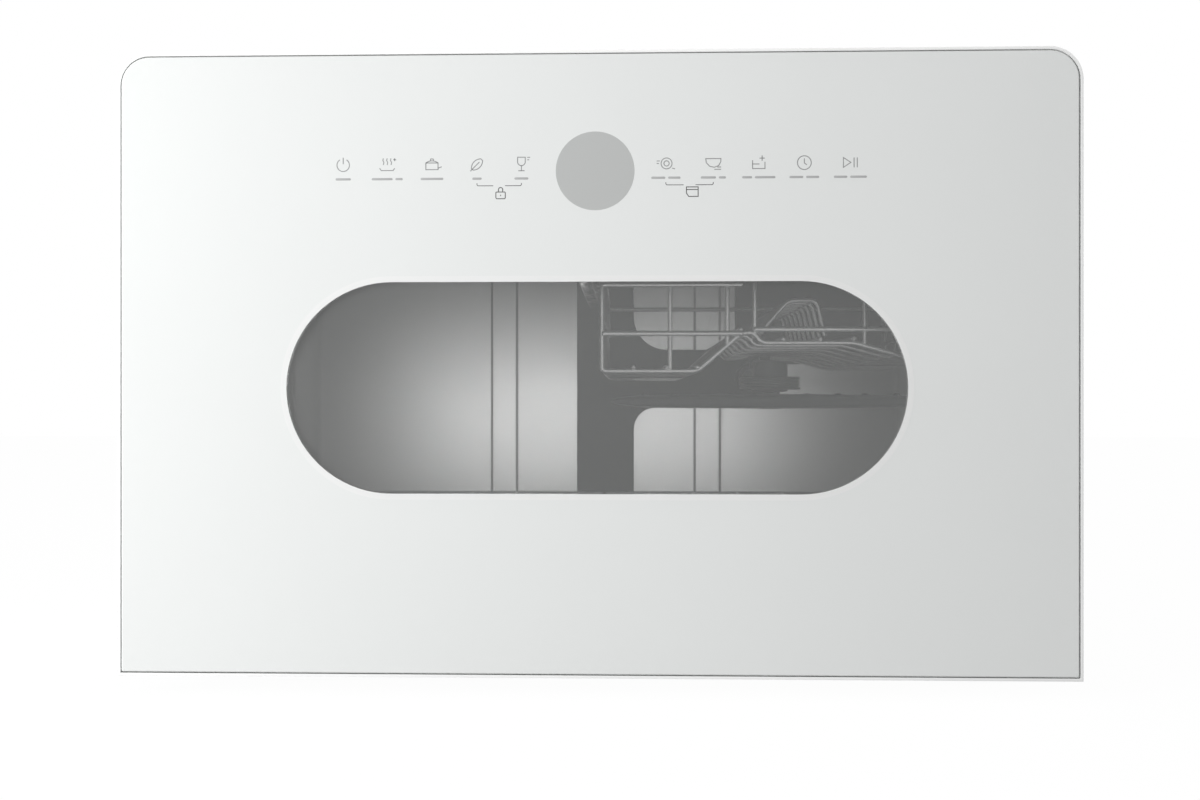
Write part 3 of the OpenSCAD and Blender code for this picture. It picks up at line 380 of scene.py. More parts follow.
class Look(Enum):
    """The machine's finishes, each with the record's slot that it belongs to."""

    CASING = (Enamel("casing_enamel", (0.82, 0.825, 0.82), 0.3), "white_paint")
    FACE = (PrintedGlass("face_white_glass", (0.76, 0.775, 0.768), 0.05), "white_glass")
    BAND = (PrintedGlass("window_band_print", (0.79, 0.795, 0.79), 0.06), "white_glass")
    INK = (Moulded("symbol_ink", (0.27, 0.275, 0.275), 0.4, cloud=0.03), "display_grey")
    DARK_INK = (Moulded("low_symbol_ink", (0.10, 0.10, 0.10), 0.4, cloud=0.03), "display_grey")
    PALE_INK = (Moulded("label_ink", (0.42, 0.425, 0.425), 0.4, cloud=0.03), "display_grey")
    DISPLAY = (PrintedGlass("display_grey_glass", (0.46, 0.47, 0.465), 0.12, 0.4), "display_grey")
    WINDOW = (ClearGlass("window_smoked_glass", (0.31, 0.316, 0.313), 0.03, 0.26), "clear_glass")
    INNER_PANE = (ClearGlass("inner_pane_glass", (0.5, 0.51, 0.5), 0.03, 0.05), "clear_glass")
    FRAME = (Moulded("frame_white_plastic", (0.91, 0.915, 0.91), 0.3, 0.4, 0.006, 0.01, 0.2), "light_plastic")
    TUB = (PressedSteel("tub_satin_steel", (0.60, 0.60, 0.595), 0.55, metal=0.35), "stainless")
    LINER = (Steel("liner_brushed_steel", (0.62, 0.62, 0.615), 0.28, (0.02, 1.0, 1.0)), "stainless")
    BRIGHT = (Steel("small_bright_steel", (0.66, 0.66, 0.65), 0.22, (1, 1, 1), 1.5), "stainless")
    PLATED = (Zinc("plated_steel", (0.56, 0.57, 0.575), 0.3), "zinc_steel")
    BACK = (Zinc("rear_spangled_sheet", (0.60, 0.605, 0.61), 0.36, 9.0), "zinc_steel")
    WIRE = (Steel("rack_bright_wire", (0.84, 0.845, 0.84), 0.2, (1, 1, 1), 1.5, 1.0), "rack_wire")
    DUCT = (Moulded("duct_grey_plastic", (0.035, 0.036, 0.037), 0.72, 0.6, 0.01), "grey_plastic")
    ARM = (Moulded("spray_arm_plastic", (0.075, 0.077, 0.08), 0.38, 0.6, 0.01), "grey_plastic")
    GREY = (Moulded("grey_plastic_parts", (0.26, 0.27, 0.28), 0.42), "grey_plastic")
    MID = (Moulded("rack_fittings_plastic", (0.36, 0.37, 0.38), 0.4), "grey_plastic")
    PALE = (Moulded("pale_plastic_parts", (0.72, 0.73, 0.73), 0.38, 0.7, 0.01), "light_plastic")
    DARK = (Moulded("base_dark_plastic", (0.055, 0.058, 0.062), 0.5, 0.8, 0.02), "dark_plastic")
    RUBBER = (Moulded("black_rubber_parts", (0.025, 0.025, 0.027), 0.7, 0.9, 0.03), "black_rubber")
    SEAL = (Moulded("grey_seal_rubber", (0.16, 0.16, 0.165), 0.62, 0.7, 0.02), "seal_rubber")
    FELT = (Felt("bitumen_felt", (0.09, 0.09, 0.095)), "felt")
    BOARD = (Circuit("board_lacquer", (0.02, 0.13, 0.06), 0.35), "board_green")
    MOTOR = (Zinc("cast_motor_metal", (0.42, 0.43, 0.44), 0.42, 2.0), "motor_metal")
    BLUE = (Moulded("blue_cap_plastic", (0.05, 0.16, 0.42), 0.35, coat=0.2), "blue_plastic")
    AMBER = (Moulded("latch_amber_plastic", (0.62, 0.30, 0.05), 0.35, coat=0.2), "amber_plastic")

    @property
    def finish(self) -> Finish:
        """The finish itself."""
        return self.value[0]

    @property
    def slot(self) -> str:
        """The record's material slot."""
        return self.value[1]


# ---- Surfaces from arrays ----


def cells(rows: int, columns: int, round_rows: bool, round_columns: bool) -> Array:
    """Corner numbers of a grid's quads.

    Args:
        rows: points down the grid.
        columns: points across it.
        round_rows: True where the last row meets the first.
        round_columns: True where the last column meets the first.

    Returns:
        An array of four corner numbers for each quad.
    """
    down = np.arange(rows if round_rows else rows - 1)[:, None]
    across = np.arange(columns if round_columns else columns - 1)[None, :]
    here, below, beside = down * columns, (down + 1) % rows * columns, (across + 1) % columns
    corners = (here + across, below + across, below + beside, here + beside)
    return np.stack(np.broadcast_arrays(*corners), axis=-1).reshape(-1, 4)


def turned_out(points: Array, quads: Array, tris: Array) -> tuple[Array, Array]:
    """Turns a closed surface outwards: the signed volumes under its triangles have to add up to over 0."""
    corners = np.vstack([quads[:, [0, 1, 2]], quads[:, [0, 2, 3]], tris])
    first, second, third = (points[corners[:, k]] - points.mean(axis=0) for k in range(3))
    if np.einsum("ij,ij->", first, np.cross(second, third)) < 0:
        return quads[:, ::-1], tris[:, ::-1]
    return quads, tris


class Solid:
    """Surfaces gathered into one mesh; each closed one is turned so that it faces outwards."""

    def __init__(self) -> None:
        """Starts with nothing."""
        self.points: list[Array] = []
        self.faces: list[list[int]] = []
        self.count = 0

    def take(self, points: Array, quads: Array, tris: Array | None = None) -> "Solid":
        """Adds points and the faces on them."""
        points = points.reshape(-1, 3)
        tris = np.zeros((0, 3), int) if tris is None else tris
        self.points.append(points)
        self.faces += (quads + self.count).tolist() + (tris + self.count).tolist()
        self.count += len(points)
        return self

    def ring(self, grid: Array) -> "Solid":
        """Adds a grid that closes on itself both ways, like the skin of a ring."""
        points = grid.reshape(-1, 3)
        quads, tris = turned_out(points, cells(*grid.shape[:2], True, True), np.zeros((0, 3), int))
        return self.take(points, quads, tris)

    def capped(self, grid: Array) -> "Solid":
        """Adds a grid whose rows are loops, with a fan of triangles over the first and the last loop."""
        rows, columns = grid.shape[:2]
        poles = np.stack([grid[0].mean(axis=0), grid[-1].mean(axis=0)])
        points = np.vstack([grid.reshape(-1, 3), poles])
        one = np.arange(columns)
        two = (one + 1) % columns
        last = (rows - 1) * columns
        first_pole = np.full(columns, rows * columns)
        fans = np.vstack([np.column_stack([one, two, first_pole]),
                          np.column_stack([last + two, last + one, first_pole + 1])])
        quads, tris = turned_out(points, cells(rows, columns, False, True), fans)
        return self.take(points, quads, tris)

    def sheet(self, grid: Array, round_columns: bool = False, flip: bool = False,
              keep: Array | None = None) -> "Solid":
        """Adds an open grid; `keep` says which quads stay, and `flip` turns them over."""
        quads = cells(*grid.shape[:2], False, round_columns)
        quads = quads if keep is None else quads[keep]
        return self.take(grid, quads[:, ::-1] if flip else quads)


def dress(name: str, mesh: bpy.types.Mesh, look: Look, body: str,
          stands_for: Sequence[str]) -> bpy.types.Object:
    """Puts a mesh in the scene as a piece that has a look and rides on a body; with "" it is attached to
    none.
    """
    piece = bpy.data.objects.new(name, mesh)
    bpy.context.scene.collection.objects.link(piece)
    mesh.materials.clear()
    mesh.materials.append(look.finish.material())
    if body:
        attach(piece, body)
    if stands_for:
        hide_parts(*stands_for)
    LOG.info("%s rides on %s", name, body or "two bodies")
    return piece


def place(name: str, solid: Solid, look: Look, body: str, stands_for: Sequence[str] = (),
          sharp: float = 38.0, reach: float = 0.001) -> bpy.types.Object:
    """Makes a piece of gathered surfaces.

    Args:
        name: the piece's name.
        solid: its surfaces, in millimetres.
        look: its finish.
        body: the body that it rides on.
        stands_for: the nodes that it replaces.
        sharp: the angle in degrees past which an edge is shown as one.
        reach: how far apart, in millimetres, points may lie that become one.

    Returns:
        The piece's object.
    """
    mesh = bpy.data.meshes.new(name)
    mesh.from_pydata(np.vstack(solid.points) * MM, [], solid.faces)
    weld(mesh, reach=reach)
    mesh.shade_smooth()
    mesh.set_sharp_from_angle(angle=math.radians(sharp))
    piece = dress(name, mesh, look, body, stands_for)
    level = piece.modifiers.new("flat_faces_lead", "WEIGHTED_NORMAL")
    level.keep_sharp = True
    return piece


def weld(mesh: bpy.types.Mesh, flatten: bool = False, reach: float = 0.001) -> None:
    """Merges points within a reach of each other, which closes seams and poles; can also merge flat faces."""
    work = bmesh.new()
    work.from_mesh(mesh)
    bmesh.ops.remove_doubles(work, verts=work.verts, dist=reach * MM)
    if flatten:
        bmesh.ops.dissolve_limit(work, angle_limit=math.radians(0.6), verts=work.verts, edges=work.edges)
    work.to_mesh(mesh)
    work.free()


def softened(node: str, look: Look, body: str, edge: float = 0.5, steps: int = 2) -> bpy.types.Object:
    """A copy of a CAD node with its flat faces merged and its sharp edges rounded.

    Args:
        node: the node's name.
        look: its finish.
        body: the body that it rides on.
        edge: the width of the rounding.
        steps: the facets across it.

    Returns:
        The piece's object.
    """
    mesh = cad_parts[node].data.copy()
    mesh.name = node + "_soft"
    weld(mesh, flatten=True)
    mesh.shade_smooth()
    piece = dress(node + "_soft", mesh, look, body, [node])
    bevel = piece.modifiers.new("round_edges", "BEVEL")
    bevel.width = edge * MM
    bevel.segments = steps
    bevel.limit_method = "ANGLE"
    bevel.angle_limit = math.radians(35)
    bevel.harden_normals = True
    return piece


def stand(flat: Array, depth: Any, axis: str = "y") -> Array:
    """Stands plane points up in space.

    Args:
        flat: points across and up, in its last axis.
        depth: where they lie along the axis.
        axis: "y" for a plane seen from the front, "z" from above, "x" from the side.

    Returns:
        The points with three coordinates.
    """
    across, up = flat[..., 0], flat[..., 1]
    depth = np.broadcast_to(depth, across.shape)
    order = {"y": (across, depth, up), "z": (across, up, depth), "x": (depth, across, up)}
    return np.stack(order[axis], axis=-1)


def unit(turn: Array) -> Array:
    """Unit steps, across and up, at each angle in radians."""
    return np.column_stack([np.cos(turn), np.sin(turn)])


@dataclass(frozen=True)
class Outline:
    """An upright rectangle with round corners, of one radius above and one below."""

    width: float
    low: float
    high: float
    upper: float
    lower: float
    middle: float = 0.0
    corner: int = 12
    across: tuple = tuple(np.linspace(0, 1, 9)[1:-1])
    up: tuple = tuple(np.linspace(0, 1, 9)[1:-1])

    def points(self, inset: float = 0.0) -> Array:
        """Walks round the outline against the clock from its right side.

        Each corner is an arc of its radius less the inset about its own centre, and each straight side
        between two arcs is cut at the fractions that `across` and `up` give.

        Args:
            inset: how far the walk keeps inside the outline.

        Returns:
            The points, across and up.
        """
        arcs = []
        for quarter, (x, z, radius) in enumerate(((1, 1, self.upper), (-1, 1, self.upper),
                                                  (-1, -1, self.lower), (1, -1, self.lower))):
            reach = max(radius, inset + 0.02)
            level = self.high - reach if z > 0 else self.low + reach
            centre = np.array([self.middle + x * (self.width / 2 - reach), level])
            turn = np.radians(90.0 * quarter + np.linspace(0, 90, self.corner + 1))
            arcs.append(centre + (reach - inset) * unit(turn))
        up, across = np.array(self.up)[:, None], np.array(self.across)[:, None]
        cuts = (across, (1 - up)[::-1], across, up)
        walk = []
        for arc, after, cut in zip(arcs, arcs[1:] + arcs[:1], cuts):
            walk += [arc, arc[-1] * (1 - cut) + after[0] * cut]
        return np.vstack(walk)

    def arch(self, inset: float = 0.0) -> Array:
        """The same walk without the lower corners and side: up the right side, over and down the left."""
        walk = self.points(inset)
        side = len(self.up)
        head = 2 * (self.corner + 1) + len(self.across)
        right = walk[-side:]
        foot_right = np.array([[right[0, 0], self.low]])
        left = walk[head:head + side]
        foot_left = np.array([[left[0, 0], self.low]])
        return np.vstack([foot_right, right, walk[:head], left, foot_left])


@dataclass(frozen=True)
class Disc:
    """A circle in a plane."""

    radius: float
    across: float = 0.0
    up: float = 0.0
    count: int = 48

    def points(self, inset: float = 0.0) -> Array:
        """Even steps round the circle, drawn in by an inset."""
        turn = 2 * np.pi * np.arange(self.count) / self.count
        return np.array([self.across, self.up]) + (self.radius - inset) * unit(turn)


def stadium(width: float, height: float, centre_up: float, centre_across: float = 0.0) -> Outline:
    """A rectangle with half-round ends."""
    radius = height / 2 - 0.02
    return Outline(width, centre_up - height / 2, centre_up + height / 2, radius, radius, centre_across, 20)


def slab(outline: Any, start: float, end: float, edge: float = 0.6, axis: str = "y", steps: int = 3,
         hole: bool = False) -> Array:
    """Loops of a plate with rounded rims.

    With t going from 0 to a right angle, a loop lies edge (1 - sin t) inside the outline at edge (1 - cos t)
    behind the near face; the far face mirrors it. A hole's rims widen instead.

    Args:
        outline: anything with points(inset).
        start: the near face.
        end: the far face.
        edge: the rims' radius.
        axis: the axis along which the plate is thick.
        steps: facets in each rim.
        hole: True where the outline bounds a hole.

    Returns:
        The loops, one to a row.
    """
    turn = np.radians(np.linspace(0, 90, steps + 1))
    insets = edge * (1 - np.sin(turn)) * (-1 if hole else 1)
    depths = edge * (1 - np.cos(turn)) * (1 if end > start else -1)
    places = np.concatenate([start + depths, (end - depths)[::-1]])
    insets = np.concatenate([insets, insets[::-1]])
    return np.stack([stand(outline.points(inset), spot, axis) for inset, spot in zip(insets, places)])


def pierced(outer: Any, inner: Any, start: float, end: float, edge: float = 0.6, axis: str = "y") -> Array:
    """Loops of a plate with one hole: down the outer rim and back up the hole's rim."""
    hole = slab(inner, start, end, edge, axis, hole=True)
    return np.concatenate([slab(outer, start, end, edge, axis), hole[::-1]])


def turned(profile: Sequence, centre: Sequence[float], axis: str = "z", count: int = 32) -> Array:
    """Loops of a turned shape: each pair of the profile is a radius and a height over the centre."""
    across, up, along = {"y": (0, 2, 1), "z": (0, 1, 2), "x": (1, 2, 0)}[axis]
    rows = []
    for radius, height in profile:
        loop = Disc(max(radius, 0.01), centre[across], centre[up], count).points()
        rows.append(stand(loop, centre[along] + height, axis))
    return np.stack(rows)


def eased(points: Sequence, bend: float, steps: int = 5) -> Array:
    """Rounds the corners of a path.

    Each corner p becomes the curve (1 - t)^2 a + 2 t (1 - t) p + t^2 c, with a and c the points `bend` before
    and after it.

    Args:
        points: the path's corners.
        bend: the length of leg that a corner takes up.
        steps: parts of each curve.

    Returns:
        The points of the rounded path.
    """
    path = np.array(points, float)
    t = np.linspace(0, 1, steps + 1)[:, None]
    walk = [path[:1]]
    for before, here, after in zip(path[:-2], path[1:-1], path[2:]):
        a = here + bend * (before - here) / np.linalg.norm(before - here)
        c = here + bend * (after - here) / np.linalg.norm(after - here)
        walk.append((1 - t) ** 2 * a + 2 * t * (1 - t) * here + t ** 2 * c)
    return np.vstack(walk + [path[-1:]])


def tube(path: Array, radius: Any, sides: int = 10, up: Sequence[float] = (0, 0, 1),
         tip: float = 0.0) -> Array:
    """Loops round a path.

    Each loop lies square to the path's run: radius (cos a * side + sin a * over), where side is the cross
    product of the run and `up`, and over that of side and the run. A tip rounds both ends off.

    Args:
        path: the middle line.
        radius: one radius, or one for each point.
        sides: points in a loop.
        up: a direction that the path never runs in.
        tip: the length over which the ends are rounded.

    Returns:
        The loops, one to a row.
    """
    path = np.asarray(path, float)
    radius = np.broadcast_to(np.asarray(radius, float), len(path)).copy()
    if tip:
        start, end = path[0], path[-1]
        first = (path[1] - start) / np.linalg.norm(path[1] - start)
        last = (path[-2] - end) / np.linalg.norm(path[-2] - end)
        path = np.vstack([start, start + first * tip * 0.4, start + first * tip, path[1:-1],
                          end + last * tip, end + last * tip * 0.4, end])
        radius = np.concatenate([radius[:1] * [0.45, 0.85, 1], radius[1:-1], radius[-1:] * [1, 0.85, 0.45]])
    run = np.gradient(path, axis=0)
    run /= np.linalg.norm(run, axis=1, keepdims=True)
    side = np.cross(run, np.asarray(up, float))
    side /= np.linalg.norm(side, axis=1, keepdims=True)
    over = np.cross(side, run)
    turn = 2 * np.pi * np.arange(sides) / sides
    ring = np.cos(turn)[None, :, None] * side[:, None] + np.sin(turn)[None, :, None] * over[:, None]
    return path[:, None] + radius[:, None, None] * ring


def block(low: Sequence[float], high: Sequence[float], edge: float = 0.5) -> Array:
    """Loops of a block with every edge rounded."""
    low, high = np.array(low, float), np.array(high, float)
    middle, corner, halves = (low[0] + high[0]) / 2, edge * 2, (0.5,)
    outline = Outline(high[0] - low[0], low[1], high[1], corner, corner, middle, 4, halves, halves)
    return slab(outline, low[2], high[2], edge, "z")


def smooth_box(value: Array, low: float, high: float, soft: float) -> Array:
    """1 between low and high, 0 outside, with an even slope `soft` wide on each side of both limits."""
    rise = np.clip((value - low) / soft + 0.5, 0, 1)
    fall = np.clip((high - value) / soft + 0.5, 0, 1)
    ease = rise * fall
    return ease * ease * (3 - 2 * ease)


def arc(across: float, up: float, radius: float, start: float, end: float, steps: int = 16) -> Array:
    """Points on an arc, its angles in degrees against the clock from the right."""
    return np.array([across, up]) + radius * unit(np.radians(np.linspace(start, end, steps + 1)))


def ribbon(solid: Solid, stroke: Array, width: float, front: float, back: float) -> None:
    """Adds a flat stroke of even width along a plane path, as a thin closed body.

    Args:
        solid: what the stroke is added to.
        stroke: the path; it is closed if its last point is its first.
        width: the stroke's width.
        front: the near face's Y.
        back: the far face's Y.
    """
    path = np.array(stroke, float)
    closed = bool(np.allclose(path[0], path[-1]))
    if closed:
        path = path[:-1]
        ahead = path - np.roll(path, 1, axis=0)
        after = np.roll(path, -1, axis=0) - path
    else:
        legs = np.diff(path, axis=0)
        ahead, after = np.vstack([legs[:1], legs]), np.vstack([legs, legs[-1:]])
    ahead = ahead / np.linalg.norm(ahead, axis=1, keepdims=True)
    after = after / np.linalg.norm(after, axis=1, keepdims=True)
    run = ahead + after
    run /= np.linalg.norm(run, axis=1, keepdims=True)
    spread = width / 2 / np.clip(np.einsum("ij,ij->i", run, after), 0.5, 1)
    side = np.column_stack([run[:, 1], -run[:, 0]]) * spread[:, None]
    left, right = path + side, path - side
    grid = np.stack([stand(left, front), stand(right, front), stand(right, back), stand(left, back)], axis=1)
    if closed:
        solid.ring(grid)
    else:
        solid.capped(grid)


def walked(path: Array, pitch: float) -> Array:
    """Cuts a path into steps of about `pitch`, keeping its own points."""
    legs = np.linalg.norm(np.diff(path, axis=0), axis=1)
    run = np.concatenate([[0], np.cumsum(legs)])
    stops = np.union1d(np.round(run, 6), np.round(np.arange(0, run[-1], pitch), 6))
    return np.stack([np.interp(stops, run, path[:, k]) for k in range(path.shape[1])], axis=1)


def by_angle(walk: Array, centre: Sequence[float], angles: Array) -> Array:
    """Points of a closed walk at given angles about a centre that sees all of it.

    Each point is the centre plus the walk's distance at that angle, read between its own points.
    """
    spokes = walk - np.array(centre)
    turn = np.arctan2(spokes[:, 1], spokes[:, 0])
    reach = np.interp(angles, turn, np.linalg.norm(spokes, axis=1), period=2 * np.pi)
    return np.array(centre) + reach[:, None] * unit(angles)


def screw_head(solid: Solid, x: float, z: float, y: float, radius: float, rise: float) -> None:
    """Adds a pan head with a cross recess, seen from behind the machine.

    The head's height over its seat is rise (1 - 0.5 (r / radius)^2); where the point lies in a cross as wide
    as 0.4 of the radius and within 0.62 of it, the height drops by half the rise.

    Args:
        solid: what the head is added to.
        x: its middle.
        z: its middle.
        y: its seat.
        radius: its radius.
        rise: its height.
    """
    reach = radius * np.array([0.04, 0.12, 0.19, 0.21, 0.35, 0.5, 0.6, 0.64, 0.8, 0.93, 1.0])[:, None]
    turn = (2 * np.pi * np.arange(32) / 32 + 0.3)[None, :]
    across, up = reach * np.cos(turn), reach * np.sin(turn)
    cross = (np.minimum(abs(across), abs(up)) < 0.2 * radius) & (reach < 0.62 * radius)
    height = rise * (1 - 0.5 * (reach / radius) ** 2) - 0.5 * rise * cross
    head = np.stack([x + across, y + height, z + up], axis=-1)
    foot = head[-1:].copy()
    foot[..., 1] = y
    solid.capped(np.concatenate([head, foot]))


# ---- The door ----

WINDOW_UP = 175.5


class Glyph:
    """The strokes of one touch symbol, in millimetres about its middle."""

    def __init__(self, *strokes: Any) -> None:
        """Keeps each stroke as an array of points."""
        self.strokes = [np.array(stroke, float) for stroke in strokes]


class Mark(Enum):
    """The touch symbols."""

    POWER = Glyph(arc(0, 0, 3.6, 122, 418, 24), [(0, 4.3), (0, 0.6)])
    STEAM = Glyph([(-2.2, 3.8), (-2.5, 2.6), (-1.9, 1.4), (-2.2, 0.0)],
                  [(0, 3.8), (-0.3, 2.6), (0.3, 1.4), (0, 0.0)],
                  [(2.2, 3.8), (1.9, 2.6), (2.5, 1.4), (2.2, 0.0)],
                  [(-4.3, -1.9), (-3.4, -3.2), (3.4, -3.2), (4.3, -1.9)],
                  [(3.5, 3.0), (5.1, 3.0)], [(4.3, 3.8), (4.3, 2.2)])
    POT = Glyph([(-3.5, 1.0), (-3.5, -2.8), (3.5, -2.8), (3.5, 1.0), (-3.5, 1.0)],
                arc(0, -3.4, 5.6, 52, 128, 12),
                [(-0.9, 2.4), (-0.7, 3.3), (0.7, 3.3), (0.9, 2.4)], [(3.5, -2.0), (5.6, -1.2)])
    LEAF = Glyph(np.vstack([arc(2.2, -2.2, 5.4, 90, 180, 14), arc(-2.2, 2.2, 5.4, 270, 360, 14),
                            [(2.2, 3.2)]]), [(-3.8, -3.8), (1.4, 1.4)])
    GOBLET = Glyph(np.vstack([[(-2.2, 4.0)], arc(0, 1.4, 2.2, 180, 360, 14), [(2.2, 4.0)], [(-2.2, 4.0)]]),
                   [(0, -0.8), (0, -3.7)], [(-1.8, -3.7), (1.8, -3.7)],
                   [(3.3, 3.9), (5.0, 3.9)], [(3.3, 2.5), (4.4, 2.5)])
    PLATE = Glyph(arc(0.4, 0, 3.1, 0, 360, 26), arc(0.4, 0, 1.5, 0, 360, 16), [(-5.2, 1.4), (-3.4, 1.4)],
                  [(-5.2, 0.0), (-3.9, 0.0)], [(3.6, -2.7), (5.2, -3.1)])
    DISH = Glyph([(-4.3, 2.6), (4.3, 2.6), (4.2, 0.7), (3.0, -1.4), (0.6, -2.3), (-2.0, -1.8), (-4.0, 0.3),
                  (-4.3, 2.6)], [(0.6, -3.5), (4.4, -3.5)], [(2.2, -2.2), (4.4, -2.2)])
    CLEAN = Glyph([(-3.5, 1.6), (-3.5, -3.2), (3.5, -3.2), (3.5, 0.6)], [(-3.5, -0.6), (0.4, -0.6)],
                  [(1.9, 4.2), (1.9, 1.2)], [(0.4, 2.7), (3.4, 2.7)])
    CLOCK = Glyph(arc(0, 0, 3.9, 0, 360, 30), [(0, 2.4), (0, -0.2), (1.5, -1.2)])
    START = Glyph([(-3.9, 2.8), (-3.9, -2.8), (0.3, 0.0), (-3.9, 2.8)], [(2.1, 2.8), (2.1, -2.8)],
                  [(3.9, 2.8), (3.9, -2.8)])
    LOCK = Glyph([(-2.4, 0.2), (2.4, 0.2), (2.7, -0.1), (2.7, -3.1), (2.2, -3.6), (-2.2, -3.6), (-2.7, -3.1),
                  (-2.7, -0.1), (-2.4, 0.2)],
                 np.vstack([[(-1.2, 0.2)], arc(0, 1.6, 1.2, 180, 0, 10), [(1.2, 0.2)]]),
                 [(0, -1.3), (0, -2.1)])
    TRAY = Glyph([(-3.3, 2.0), (3.3, 2.0), (3.3, -3.4), (-2.0, -3.4), (-3.3, -1.6), (-3.3, 2.0)],
                 [(-3.3, 0.5), (3.3, 0.5)])


@dataclass(frozen=True)
class Key:
    """A touch symbol: what it shows, where it is and the lengths of the two bars that stand for its words."""

    mark: Mark
    across: float
    bars: tuple


